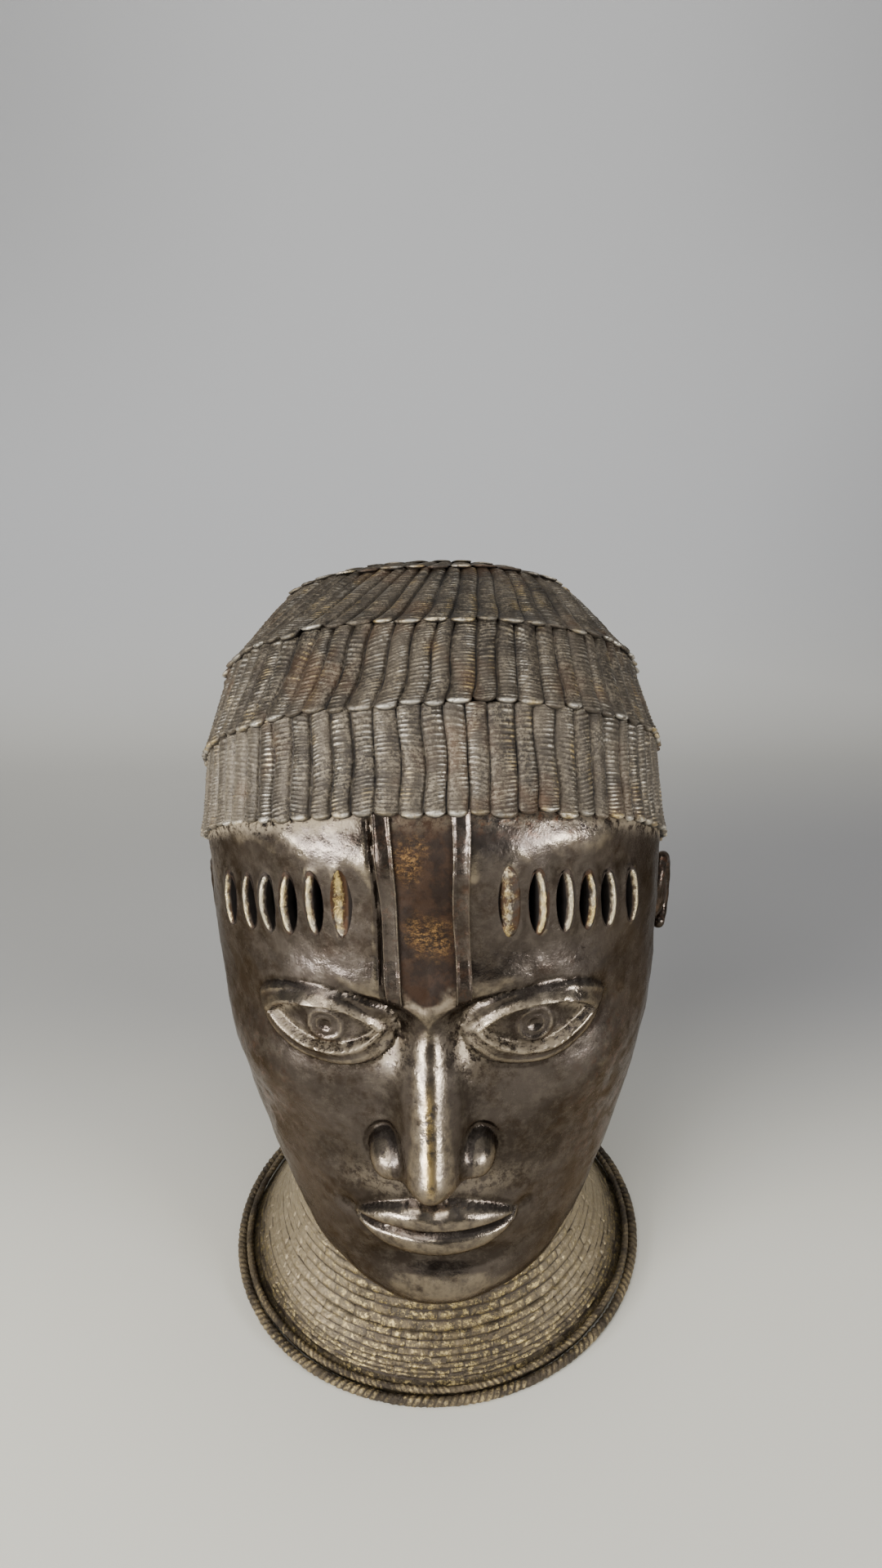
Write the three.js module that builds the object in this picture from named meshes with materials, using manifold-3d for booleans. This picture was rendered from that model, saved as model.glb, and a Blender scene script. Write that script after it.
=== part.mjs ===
// A hollow cast bronze head in the Benin manner. It stands on the flared rim of its beaded collar.
// Millimetres, +Z up, face towards -Y. The origin is on the table, under the middle of the casting's box.
// The casting is one piece: face, ears, tiered hair, neck, bead collar and rope border.

import * as THREE from "three";
import { mergeVertices } from "three/addons/utils/BufferGeometryUtils.js";
import Module from "manifold-3d";

const wasm = await Module();
wasm.setup();

// Driving dimensions

const HEAD_HEIGHT = 242; // chin to crown, under the hair
const CHIN_LIFT = 43; // from the table to the chin
const HEAD_FORWARD = 7.5; // the head sits this far in front of the rim's centre
const HEAD_ASIDE = 4.5; // and this far to its own left, as it was modelled by hand
const WALL = 4; // thickness of the cast metal
const RIM_HALF_WIDTH = 85; // collar's rim, outside the rope
const ROPE_THICKNESS = 4.8; // twisted border round the rim
const NECK_HALF_WIDTH = 57; // collar where it meets the jaw
const COLLAR_DEEPER = 4; // its half depth is this much more than its half width, all the way up
const COLLAR_HEIGHT = 112; // the neck ends here, inside the head
const FLARE_HEIGHT = 52; // the collar widens below this height
const BEAD_ROWS_SHOWN = 6; // stepped bead rows on the flare
const BEAD_STEP = 1; // how far each of them stands out
const HAIR_LIP = 2.7; // a tier's lower edge stands this far off the skin
const HAIR_ROOT = 0.8; // and its upper edge this far
const HAIR_GROOVE = 1.5; // depth between two locks
const LOCK_WIDTH = 7; // width of one lock of hair
const HAIR_TILT = THREE.MathUtils.degToRad(36.3); // the tiers drop towards the nape
const SLOT_LENGTH = 20; // pierced marks above the eyes
const SLOT_WIDTH = 5.2;
const BLIND_DEPTH = 1.8; // the mark next to the nose isn't pierced
const STRIP_WIDTH = 5.2; // two raised strips on the forehead
const STRIP_SPACING = 21; // between their centre lines
const STRIP_RAISE = 1.1;
const EAR_LENGTH = 33;
const EAR_PROUD = 8; // its outer fold stands this far off the head
const EAR_RIM = 5; // thickness of that fold

// The head is drawn at a fixed size. Its pose, proportions and carving are shares of its height.
const CAP_FROM = 130; // as drawn, the skull closes above this height
const CAP_HEIGHT = 112; // and ends this much higher
const DRAWN_HEIGHT = CAP_FROM + CAP_HEIGHT;
const share = HEAD_HEIGHT / DRAWN_HEIGHT;

// Curves and blends

// A smooth curve through [place, value] knots, flat at its last knot.
function curve(knots) {
  const n = knots.length;
  const slope = knots.map(([p, v], i) => {
    if (i === n - 1) return 0;
    const [before, after] = [knots[Math.max(i - 1, 0)], knots[i + 1]];
    return (after[1] - before[1]) / (after[0] - before[0]);
  });
  return (p) => {
    if (p <= knots[0][0]) return knots[0][1];
    if (p >= knots[n - 1][0]) return knots[n - 1][1];
    let i = 0;
    while (p > knots[i + 1][0]) i++;
    const step = knots[i + 1][0] - knots[i][0];
    const t = (p - knots[i][0]) / step;
    return (
      knots[i][1] * (2 * t ** 3 - 3 * t ** 2 + 1) +
      knots[i + 1][1] * (3 * t ** 2 - 2 * t ** 3) +
      slope[i] * step * (t ** 3 - 2 * t ** 2 + t) +
      slope[i + 1] * step * (t ** 3 - t ** 2)
    );
  };
}

const bell = (t) => Math.exp(-t * t);
const bell2 = (a, b) => Math.exp(-a * a - b * b);
const dome = (t) => Math.sqrt(Math.max(0, 1 - t));

function smoothStep(from, to, v) {
  const t = Math.min(1, Math.max(0, (v - from) / (to - from)));
  return t * t * (3 - 2 * t);
}

// The larger of two heights, with the corner between them rounded over a width k.
function smoothMax(a, b, k) {
  const t = Math.max(k - Math.abs(a - b), 0) / k;
  return Math.max(a, b) + (t * t * k) / 4;
}

// The bare head: level sections, each an oval given by its half width, its front and its back

const HEAD_FOOT = -4; // the head's lowest point, just under the chin
const CAP_HALF_WIDTH = 79.4;
const CAP_CENTRE = 8; // how far behind the axis the head is widest
const CAP_FRONT = 83.5;
const CAP_BACK = 90;
const CAP_FULLNESS = 2.8; // over 2 makes the forehead and the temples upright and the crown flat
const SECTION_FULLNESS = 2.15;

// Half width as a share of the cap's, by height.
const widthShare = curve([
  [HEAD_FOOT, 0.013], [0, 0.279], [6, 0.444], [15, 0.584], [30, 0.723],
  [50, 0.85], [70, 0.933], [92, 0.984], [CAP_FROM, 1],
]);
const centreLine = curve([
  [HEAD_FOOT, -50], [0, -46], [15, -34], [30, -18],
  [50, -2], [70, 6], [92, 8], [CAP_FROM, CAP_CENTRE],
]);
const frontLine = curve([
  [HEAD_FOOT, 52], [0, 67], [6, 74], [15, 77], [40, 77.5],
  [70, 77.5], [100, 78], [CAP_FROM, CAP_FRONT - CAP_CENTRE],
]);
const backLine = curve([
  [HEAD_FOOT, -48], [0, -34], [15, 0], [30, 32], [50, 60],
  [70, 79], [92, 91], [116, 97], [CAP_FROM, CAP_CENTRE + CAP_BACK],
]);

function section(z) {
  if (z <= CAP_FROM) {
    const [half, centre] = [CAP_HALF_WIDTH * widthShare(z), centreLine(z)];
    return { half, centre, front: centre + frontLine(z), back: backLine(z) - centre };
  }
  const t = Math.min((z - CAP_FROM) / CAP_HEIGHT, 0.99999);
  const full = (1 - t ** CAP_FULLNESS) ** (1 / CAP_FULLNESS);
  const round = Math.sqrt(1 - t * t);
  return { half: CAP_HALF_WIDTH * full, centre: CAP_CENTRE, front: CAP_FRONT * full, back: CAP_BACK * round };
}

// Below 0 inside the bare head and above 0 outside.
function outside(p) {
  if (p.z >= DRAWN_HEIGHT || p.z <= HEAD_FOOT) return 1;
  const s = section(p.z);
  const y = p.y - s.centre;
  const depth = y < 0 ? s.front : s.back;
  return (Math.abs(p.x) / s.half) ** SECTION_FULLNESS + (Math.abs(y) / depth) ** SECTION_FULLNESS - 1;
}

// Where a line from a point inside leaves the bare head.
function skin(from, way) {
  let [low, high] = [0, DRAWN_HEIGHT];
  for (let i = 0; i < 40; i++) {
    const mid = (low + high) / 2;
    if (outside(from.clone().addScaledVector(way, mid)) < 0) low = mid;
    else high = mid;
  }
  return from.clone().addScaledVector(way, low);
}

function skinNormal(p) {
  const e = 0.4;
  const slope = (axis) => {
    const [a, b] = [p.clone(), p.clone()];
    a[axis] += e;
    b[axis] -= e;
    return outside(a) - outside(b);
  };
  return new THREE.Vector3(slope("x"), slope("y"), slope("z")).normalize();
}

// The face: a calm one on even proportions, as heights above the bare head

const EYE = { x: 32, z: 121, halfWidth: 16, upper: 8.5, lower: 6.5 };
const MOUTH = { z: 48, halfWidth: 27 };
const ridge = curve([
  [64, 0], [67, 1.5], [70, 10], [73.5, 20], [78, 23.5], [83, 22.5],
  [92, 17.5], [105, 11.5], [118, 6.5], [129, 3.2], [135, 0],
]);
const ridgeWidth = curve([[66, 9], [80, 9.5], [92, 8.5], [110, 7.5], [129, 6.5]]);
const upperLip = curve([[0, 8.4], [5.5, 9.4], [15, 6.8], [22, 3.2], [27, 0.2]]);
const lowerLip = curve([[0, 11.5], [10, 11], [18, 7.5], [24, 3], [27, 0.2]]);

// Signed distance to an almond of two arcs, below 0 inside.
function almond(x, z, half, up, down) {
  const arc = (rise, side) => {
    const radius = (half * half + rise * rise) / (2 * rise);
    return Math.hypot(x, z + side * (radius - rise)) - radius;
  };
  return Math.max(arc(up, 1), arc(down, -1));
}

function eyeRelief(x, z) {
  const [dx, dz] = [x - EYE.x, z - EYE.z];
  const edge = almond(dx, dz, EYE.halfWidth, EYE.upper, EYE.lower);
  const brow = 136 - 9 * ((x - 22) / 30) ** 2;
  let h = 3.2 * bell((z - brow) / (z < brow ? 5 : 9)) * smoothStep(66, 44, x);
  h -= 3.4 * bell2((x - 30) / 17, (z - 122) / 10) + 2.6 * bell2((x - 12) / 6, (z - 122) / 9);
  h += 6.4 * dome((dx / 22) ** 2 + (dz / 14) ** 2);
  return h + (edge < 0 ? -1.2 : 1.3 * bell((edge - 1) / 1.4));
}

function noseRelief(x, z) {
  const width = ridgeWidth(z);
  const bridge = ridge(z) * (0.78 * Math.exp(-0.9 * (x / width) ** 2.2) + 0.22 * bell(x / (2 * width)));
  const wing = 12 * dome(((x - 12) / 7.5) ** 2 + ((z - 77.5) / 8.5) ** 2) ** 1.2;
  return smoothMax(bridge, wing, 3) - 0.75;
}

function mouthRelief(x, z) {
  let h = 4.5 * bell2(x / 27, (z - 50) / 24);
  if (x < MOUTH.halfWidth) {
    const fade = (1 - (x / (MOUTH.halfWidth + 1)) ** 2) ** 0.7;
    const up = (z - MOUTH.z) / upperLip(x);
    const down = (MOUTH.z - z) / lowerLip(x);
    if (up >= 0) h += 5.5 * fade * dome(((up - 0.45) / 0.6) ** 2);
    else h += 6.5 * fade * dome(((down - 0.45) / 0.6) ** 2);
  }
  return h;
}

function relief(x, z) {
  const ax = Math.abs(x);
  return (
    eyeRelief(ax, z) +
    noseRelief(ax, z) +
    mouthRelief(ax, z) +
    4.5 * bell2(ax / 17, (z - 14) / 10) -
    3 * bell2(ax / 17, (z - 30) / 5.5) +
    3.5 * bell2((ax - 50) / 17, (z - 97) / 15)
  );
}

// The relief fades in from the sides towards the front, and from the forehead's top down.
const FADE_SIDE = [-8, -34];
const FADE_TOP = [170, 150];

function facePoint(from, way) {
  const p = skin(from, way);
  const inFace = smoothStep(...FADE_SIDE, p.y) * smoothStep(...FADE_TOP, p.z);
  return p.addScaledVector(skinNormal(p), relief(p.x, p.z) * inFace);
}

// Rings of points, stitched into one closed surface

const up = new THREE.Vector3(0, Math.sin(HAIR_TILT), Math.cos(HAIR_TILT));
const back = new THREE.Vector3(0, Math.cos(HAIR_TILT), -Math.sin(HAIR_TILT));
const capCentre = new THREE.Vector3(0, CAP_CENTRE, CAP_FROM);
const faceCentre = new THREE.Vector3(0, 5, 90);

// The crown is the skull's highest point along the tilted axis.
const crown = capCentre.clone();
const crownReach = Math.hypot(CAP_BACK * up.y, CAP_HEIGHT * up.z);
crown.y += (CAP_BACK ** 2 * up.y) / crownReach;
crown.z += (CAP_HEIGHT ** 2 * up.z) / crownReach;

// A level is a share of the way from the hairline to the crown along the hair's tilted axis.
const TIER_LEVELS = [0, 0.308, 0.584, 0.865, 0.94];
const CROWN_LEVEL = 0.979;
const HAIRLINE_RISE = 3.7; // from the cap's centre to the hairline's plane, along that axis
const HAIRLINE_LIFT = 6.3; // over the ears the hairline is this much higher than its plane
const TIER_LIFT = 1.6; // the tiers above it rise less over the ears
const TIER_SKEW = 2.6; // and they sit higher over the left ear than over the right
const hairSpan = crown.clone().sub(capCentre).dot(up);

// The point on the axis from which a level's ring is drawn at an angle.
function levelCentre(level, angle) {
  const lift = HAIRLINE_LIFT * Math.sin(angle) ** 2;
  const upperLift = (TIER_SKEW * Math.sin(angle) + TIER_LIFT * Math.sin(angle) ** 2) * (1 - level ** 2);
  const shift = THREE.MathUtils.lerp(lift, upperLift, Math.min(level / TIER_LEVELS[1], 1));
  const rise = THREE.MathUtils.lerp(HAIRLINE_RISE, hairSpan, level) + shift;
  return capCentre.clone().lerp(crown, rise / hairSpan);
}

// A ring's angle starts at the front and grows towards the head's left.
const ringWay = (angle) => new THREE.Vector3(Math.sin(angle), 0, 0).addScaledVector(back, -Math.cos(angle));
const ringPoint = (level, angle, from = skin) => from(levelCentre(level, angle), ringWay(angle));

// Stitches ring a to ring b above it. Both run counter-clockwise from above, and a ring may be one point.
// Where both have a corner at the same angle, the shorter diagonal is taken.
function stitch(a, b, triangles) {
  const edges = (ring) => (ring.length > 1 ? ring.length : 0);
  const angle = (ring, i) => (i < ring.length ? ring[i].angle : ring[0].angle + 2 * Math.PI);
  const at = (ring, i) => ring[i % ring.length].point;
  let [i, j] = [0, 0];
  while (i < edges(a) || j < edges(b)) {
    let turnA = j >= edges(b);
    if (!turnA && i < edges(a)) {
      const lead = angle(b, j + 1) - angle(a, i + 1);
      const shorter = at(a, i + 1).distanceTo(at(b, j)) < at(a, i).distanceTo(at(b, j + 1)) + 1e-6;
      turnA = Math.abs(lead) < 1e-9 ? shorter : lead > 0;
    }
    if (turnA) triangles.push(at(a, i), at(a, ++i), at(b, j));
    else triangles.push(at(a, i), at(b, j + 1), at(b, j++));
  }
}

function surfaceOf(rings) {
  const triangles = [];
  for (let i = 0; i + 1 < rings.length; i++) stitch(rings[i], rings[i + 1], triangles);
  return new THREE.BufferGeometry().setFromPoints(triangles);
}

// A geometry as a solid. A mirrored one has each of its triangles turned round.
function solidOf(geometry, mirrored = false) {
  const plain = geometry.index ? geometry.toNonIndexed() : geometry.clone();
  plain.deleteAttribute("normal");
  plain.deleteAttribute("uv");
  const merged = mergeVertices(plain, 1e-4);
  const corners = Array.from(merged.index.array);
  if (mirrored) corners.reverse();
  const mesh = new wasm.Mesh({
    numProp: 3,
    vertProperties: new Float32Array(merged.attributes.position.array),
    triVerts: new Uint32Array(corners),
  });
  return new wasm.Manifold(mesh);
}

// The head's lower part: rows from under the jaw up to the hairline

const FACE_COLUMNS = 42;
const HOLLOW_COLUMNS = 18;
const JAW_WAY = new THREE.Vector3(0, 0, -1);
// Shares of the way from the hairline to under the jaw, where the features' rows are closest together.
const FACE_SHARES = [0, ...evenShares(0, 0.11, 3), ...evenShares(0.11, 0.66, 26), ...evenShares(0.66, 1, 5)];

function evenShares(from, to, count) {
  return Array.from({ length: count }, (_, i) => THREE.MathUtils.lerp(from, to, (i + 1) / count));
}

// Columns are closest together at the front, where the angle is 0 or a full turn.
function columnAngles(columns) {
  const half = columns / 2;
  return Array.from({ length: columns }, (_, i) => {
    const q = (i <= half ? i : i - columns) / half;
    const angle = Math.PI * (0.34 * q + 0.66 * q ** 3);
    return angle < 0 ? angle + 2 * Math.PI : angle;
  });
}

function slerp(a, b, t) {
  const angle = a.angleTo(b);
  return a
    .clone()
    .multiplyScalar(Math.sin((1 - t) * angle) / Math.sin(angle))
    .addScaledVector(b, Math.sin(t * angle) / Math.sin(angle));
}

function lowerRings(columns, shares, pointAt) {
  const angles = columnAngles(columns);
  const starts = angles.map((angle) => ringPoint(0, angle).sub(faceCentre).normalize());
  const ring = (share) =>
    angles.map((angle, i) => ({ angle, point: pointAt(faceCentre, slerp(starts[i], JAW_WAY, share)) }));
  const jaw = [{ angle: 0, point: pointAt(faceCentre, JAW_WAY) }];
  return [jaw, ...shares.slice(0, -1).reverse().map(ring)];
}

// The hair: tiers of locks round the tilted axis

// Angles that cut a level's ring into equal lengths.
function evenAngles(level, count) {
  const samples = 720;
  const points = Array.from({ length: samples + 1 }, (_, i) => ringPoint(level, (2 * Math.PI * i) / samples));
  const along = [0];
  for (let i = 1; i <= samples; i++) along.push(along[i - 1] + points[i].distanceTo(points[i - 1]));
  const angles = [];
  let i = 0;
  for (let k = 0; k < count; k++) {
    const target = (along[samples] * k) / count;
    while (along[i + 1] < target) i++;
    angles.push((2 * Math.PI * (i + (target - along[i]) / (along[i + 1] - along[i]))) / samples);
  }
  return { angles, length: along[samples] * share };
}

// One ring of a tier. Each lock has a groove point and then its crest points, given as shares of its width.
function lockRing(level, angles, crests, thickness, groove) {
  const ring = [];
  angles.forEach((angle, k) => {
    const next = k + 1 < angles.length ? angles[k + 1] : angles[0] + 2 * Math.PI;
    for (const part of [0, ...crests]) {
      const height = part === 0 ? thickness - groove : thickness;
      const turn = angle + part * (next - angle);
      const point = ringPoint(level, turn).addScaledVector(ringWay(turn), height / share);
      ring.push({ angle: turn, point });
    }
  });
  return ring;
}

function hairRings() {
  const rings = [];
  TIER_LEVELS.forEach((level, tier) => {
    const top = TIER_LEVELS[tier + 1] ?? CROWN_LEVEL;
    const length = evenAngles(level, 1).length;
    const { angles } = evenAngles(level, Math.round(length / LOCK_WIDTH));
    rings.push(lockRing(level, angles, [0.25, 0.75], HAIR_LIP, HAIR_GROOVE));
    rings.push(lockRing(top, angles, [0.5], HAIR_ROOT, HAIR_ROOT * 0.9));
  });
  rings.push([{ angle: 0, point: crown.clone().addScaledVector(up, HAIR_LIP / share) }]);
  return rings;
}

// Head solids, moved to their place above the table

const toPlace = new THREE.Matrix4()
  .makeTranslation(HEAD_ASIDE, -HEAD_FORWARD, CHIN_LIFT)
  .scale(new THREE.Vector3(share, share, share));

function headSolid() {
  const rings = [...lowerRings(FACE_COLUMNS, FACE_SHARES, facePoint), ...hairRings()];
  return solidOf(surfaceOf(rings).applyMatrix4(toPlace));
}

const HOLLOW_LEVELS = [0.18, 0.38, 0.56, 0.73, 0.86];

function headHollow() {
  const inner = (from, way) => {
    const p = skin(from, way);
    return p.addScaledVector(skinNormal(p), -WALL / share);
  };
  const rings = lowerRings(HOLLOW_COLUMNS, [0, ...evenShares(0, 1, 6)], inner);
  const angles = columnAngles(HOLLOW_COLUMNS);
  for (const level of HOLLOW_LEVELS)
    rings.push(angles.map((angle) => ({ angle, point: ringPoint(level, angle, inner) })));
  rings.push([{ angle: 0, point: crown.clone().addScaledVector(up, -WALL / share) }]);
  return solidOf(surfaceOf(rings).applyMatrix4(toPlace));
}

// The collar: an oval turned shape, flared to the rim, with bead rows and a rope border

const COLLAR_SIDES = 36;
const HOLLOW_SIDES = 28;

// A closed profile of [reach, height] turned round an oval. Reach 0 is the neck and 1 the rim.
function ovalTurned(profile, sides, inset) {
  const geometry = new THREE.LatheGeometry(profile.map(([r, h]) => new THREE.Vector2(r, h)), sides);
  const position = geometry.attributes.position;
  for (let i = 0; i < position.count; i++) {
    const [x, h, z] = [position.getX(i), position.getY(i), position.getZ(i)];
    const reach = Math.hypot(x, z);
    const grow = reach > 1e-6 ? (reach + COLLAR_DEEPER * (z / reach) ** 2 - inset) / reach : 0;
    position.setXYZ(i, x * grow, -z * grow, h);
  }
  return geometry;
}

const FLARE_POWER = 2.2; // how sharply the flare bends out towards the rim

function flareReach(h) {
  const spread = (1 - Math.min(h / FLARE_HEIGHT, 1)) ** FLARE_POWER;
  return NECK_HALF_WIDTH + (RIM_HALF_WIDTH - ROPE_THICKNESS - NECK_HALF_WIDTH) * spread;
}

function collarSolid() {
  const ropeIn = RIM_HALF_WIDTH - ROPE_THICKNESS;
  const profile = [[0, 0], [RIM_HALF_WIDTH - 1, 0], [RIM_HALF_WIDTH, ROPE_THICKNESS * 0.4]];
  profile.push([RIM_HALF_WIDTH - 1, ROPE_THICKNESS * 0.85], [ropeIn + 1.4, ROPE_THICKNESS]);
  profile.push([ropeIn, ROPE_THICKNESS * 0.7]);
  const rowHeight = (FLARE_HEIGHT - ROPE_THICKNESS) / BEAD_ROWS_SHOWN;
  for (let row = 0; row < BEAD_ROWS_SHOWN; row++) {
    const low = ROPE_THICKNESS + row * rowHeight;
    profile.push([flareReach(low + rowHeight * 0.15) + BEAD_STEP, low + rowHeight * 0.25]);
    profile.push([flareReach(low + rowHeight * 0.85), low + rowHeight * 0.9]);
  }
  profile.push([NECK_HALF_WIDTH, COLLAR_HEIGHT], [0, COLLAR_HEIGHT]);
  return solidOf(ovalTurned(profile, COLLAR_SIDES, 0));
}

function collarHollow() {
  const [below, mouth] = [-5, RIM_HALF_WIDTH - ROPE_THICKNESS];
  const profile = [[0, below], [mouth, below], [mouth, 0]];
  for (const h of [0.12, 0.3, 0.6, 1]) profile.push([flareReach(h * FLARE_HEIGHT), h * FLARE_HEIGHT]);
  profile.push([NECK_HALF_WIDTH, COLLAR_HEIGHT - 2 * WALL], [0, COLLAR_HEIGHT - 2 * WALL]);
  return solidOf(ovalTurned(profile, HOLLOW_SIDES, WALL));
}

// The marks: six almonds above each eye, the one by the nose blind and the others pierced

const MARK_ANGLES = [19, 26, 33, 39.4, 46.2, 55].map(THREE.MathUtils.degToRad);
const MARK_HEIGHT = 164; // the middle of the mark by the nose
const MARK_DROP = 13.5; // the row of marks drops this much towards the temple

const markHeight = (angle) => {
  const t = (angle - MARK_ANGLES[0]) / (MARK_ANGLES.at(-1) - MARK_ANGLES[0]);
  return MARK_HEIGHT - MARK_DROP * t ** 1.25;
};

function markCutter(angle, side, blind) {
  const [half, rise] = [SLOT_LENGTH / 2, SLOT_WIDTH / 2];
  const radius = (half * half + rise * rise) / (2 * rise);
  const turn = Math.asin(half / radius);
  const outline = new THREE.Shape();
  outline.absarc(rise - radius, 0, radius, -turn, turn, false);
  outline.absarc(radius - rise, 0, radius, Math.PI - turn, Math.PI + turn, false);
  const reach = 3 * WALL; // far enough to pass the wall, which is slanted there
  const cut = { depth: 2 * reach, bevelEnabled: false, curveSegments: 3 };
  const cutter = new THREE.ExtrudeGeometry(outline, cut);
  const way = new THREE.Vector3(side * Math.sin(angle), -Math.cos(angle), 0);
  const place = skin(new THREE.Vector3(0, 0, markHeight(angle)), way).applyMatrix4(toPlace);
  place.addScaledVector(way, blind ? -BLIND_DEPTH : -reach);
  const across = new THREE.Vector3(0, 0, 1).cross(way);
  const frame = new THREE.Matrix4().makeBasis(across, new THREE.Vector3(0, 0, 1), way).setPosition(place);
  return solidOf(cutter.applyMatrix4(frame));
}

// The strips: two raised bands from the hairline to the root of the nose

const STRIP_FOOT = 136; // where the strips end above the nose
const STRIP_TOP = 193; // and where they run under the hair

function stripSolid(side) {
  const [steps, buried] = [7, 3];
  const middle = (STRIP_SPACING / 2 / share) * side;
  const forward = new THREE.Vector3(0, -1, 0);
  const front = (z) => facePoint(new THREE.Vector3(middle, 0, z), forward).y;
  const outline = new THREE.Shape();
  outline.moveTo(front(STRIP_FOOT) + buried, STRIP_FOOT);
  for (let i = 0; i <= steps; i++) {
    const z = THREE.MathUtils.lerp(STRIP_FOOT, STRIP_TOP, i / steps);
    outline.lineTo(front(z) - STRIP_RAISE / share, z);
  }
  outline.lineTo(front(STRIP_TOP) + buried, STRIP_TOP);
  const band = new THREE.ExtrudeGeometry(outline, { depth: STRIP_WIDTH / share, bevelEnabled: false });
  const [x, y, z] = [new THREE.Vector3(1, 0, 0), new THREE.Vector3(0, 1, 0), new THREE.Vector3(0, 0, 1)];
  const frame = new THREE.Matrix4().makeBasis(y, z, x).setPosition(middle - STRIP_WIDTH / share / 2, 0, 0);
  return solidOf(band.applyMatrix4(frame).applyMatrix4(toPlace));
}

// The ears: an outer fold swept round a shallow bowl, with a lobe

const EAR_CENTRE = new THREE.Vector3(CAP_HALF_WIDTH - 2.3, 25, 112);
const EAR_LEAN = 0.33; // its back edge stands further out than its front
const EAR_BREADTH = 0.6; // of its length

// Made in the ear's own frame, where u runs back, v up and w out of the head.
function earSolids(side) {
  const [half, fold] = [EAR_LENGTH / 2, EAR_RIM / 2];
  const depth = half * EAR_BREADTH;
  const path = [200, 160, 125, 90, 55, 20, -20, -60, -95].map((degrees) => {
    const turn = THREE.MathUtils.degToRad(degrees);
    return new THREE.Vector3(0, (depth - fold) * Math.cos(turn), (half - fold) * Math.sin(turn));
  });
  const swept = new THREE.ExtrudeGeometry(new THREE.Shape().absarc(0, 0, fold, 0, 2 * Math.PI, false), {
    steps: 11,
    curveSegments: 3,
    extrudePath: new THREE.CatmullRomCurve3(path),
  });
  const bowl = new THREE.SphereGeometry(1, 9, 6);
  bowl.scale(EAR_PROUD + 2.5, depth, half);
  bowl.translate(-EAR_PROUD, 0, 0);
  const centre = new THREE.Vector3(side * EAR_CENTRE.x, EAR_CENTRE.y, EAR_CENTRE.z).applyMatrix4(toPlace);
  return [swept, bowl].map((geometry) => {
    geometry.translate(EAR_PROUD, 0, 0);
    geometry.rotateZ(-EAR_LEAN);
    geometry.scale(side, 1, 1);
    geometry.translate(centre.x, centre.y, centre.z);
    return solidOf(geometry, side < 0);
  });
}

// The casting

function castHead() {
  let cast = headSolid().add(collarSolid());
  for (const side of [-1, 1]) {
    cast = cast.add(stripSolid(side));
    for (const piece of earSolids(side)) cast = cast.add(piece);
  }
  cast = cast.subtract(headHollow().add(collarHollow()));
  for (const side of [-1, 1])
    MARK_ANGLES.forEach((angle, i) => {
      cast = cast.subtract(markCutter(angle, side, i === 0));
    });
  return cast;
}

function geometryOf(solid) {
  const mesh = solid.getMesh();
  const geometry = new THREE.BufferGeometry();
  geometry.setAttribute("position", new THREE.BufferAttribute(mesh.vertProperties, 3));
  geometry.setIndex(new THREE.BufferAttribute(mesh.triVerts, 1));
  geometry.computeVertexNormals();
  return geometry;
}

const bronze = new THREE.MeshStandardMaterial({ color: 0x4a4038, roughness: 0.42, metalness: 0.9 });
const geometry = geometryOf(castHead());
geometry.computeBoundingBox();
const middle = geometry.boundingBox.getCenter(new THREE.Vector3());
geometry.translate(-middle.x, -middle.y, 0);

const head = new THREE.Mesh(geometry, bronze);
head.name = "cast_head";

const part = new THREE.Group();
part.add(head);
export default part;
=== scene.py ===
"""A hollow cast bronze head in the Benin manner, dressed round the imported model.

Metres, +Z up, face towards -Y. The head is drawn in millimetres above its chin and then put in its place.
"""

import math

import bpy
import numpy as np
from mathutils import Matrix


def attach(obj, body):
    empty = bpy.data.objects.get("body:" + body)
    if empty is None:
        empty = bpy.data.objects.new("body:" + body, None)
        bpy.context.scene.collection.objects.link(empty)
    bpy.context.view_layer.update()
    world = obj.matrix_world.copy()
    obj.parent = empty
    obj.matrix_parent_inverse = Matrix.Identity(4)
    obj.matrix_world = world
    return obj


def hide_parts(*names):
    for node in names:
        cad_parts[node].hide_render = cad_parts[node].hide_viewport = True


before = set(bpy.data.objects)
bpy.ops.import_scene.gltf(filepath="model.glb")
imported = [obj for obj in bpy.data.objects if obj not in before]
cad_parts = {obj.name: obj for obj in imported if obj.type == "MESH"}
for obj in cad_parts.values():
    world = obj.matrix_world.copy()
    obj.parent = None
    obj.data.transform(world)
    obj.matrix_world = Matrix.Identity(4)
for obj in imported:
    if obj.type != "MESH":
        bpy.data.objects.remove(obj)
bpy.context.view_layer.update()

MM = 0.001
NODE = "cast_head"
FULL_TURN = 2 * math.pi

# Driving dimensions, in millimetres, as the solid has them

CHIN_LIFT = 43.0
HEAD_FORWARD = 7.5
HEAD_ASIDE = 4.5
WALL = 4.0
ROPE_THICKNESS = 4.8
NECK_HALF = np.array([57.0, 61.0])
FLARE_HEIGHT = 52.0
HAIR_LIP = 2.7
HAIR_ROOT = 0.8
HAIR_TILT = math.radians(36.3)
STRIP_WIDTH = 5.4
EAR_LENGTH = 33.0
EAR_PROUD = 8.0
EAR_RIM = 5.0

# The rim's centre and size are read from the solid's foot
foot = np.array([v.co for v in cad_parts[NODE].data.vertices]) / MM
foot = foot[foot[:, 2] < ROPE_THICKNESS / 2][:, :2]
RIM_CENTRE = (foot.min(0) + foot.max(0)) / 2
RIM_HALF = (foot.max(0) - foot.min(0)) / 2
HEAD_PLACE = np.array([RIM_CENTRE[0] + HEAD_ASIDE, RIM_CENTRE[1] - HEAD_FORWARD, CHIN_LIFT])


# Curves, blends and noise


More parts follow.
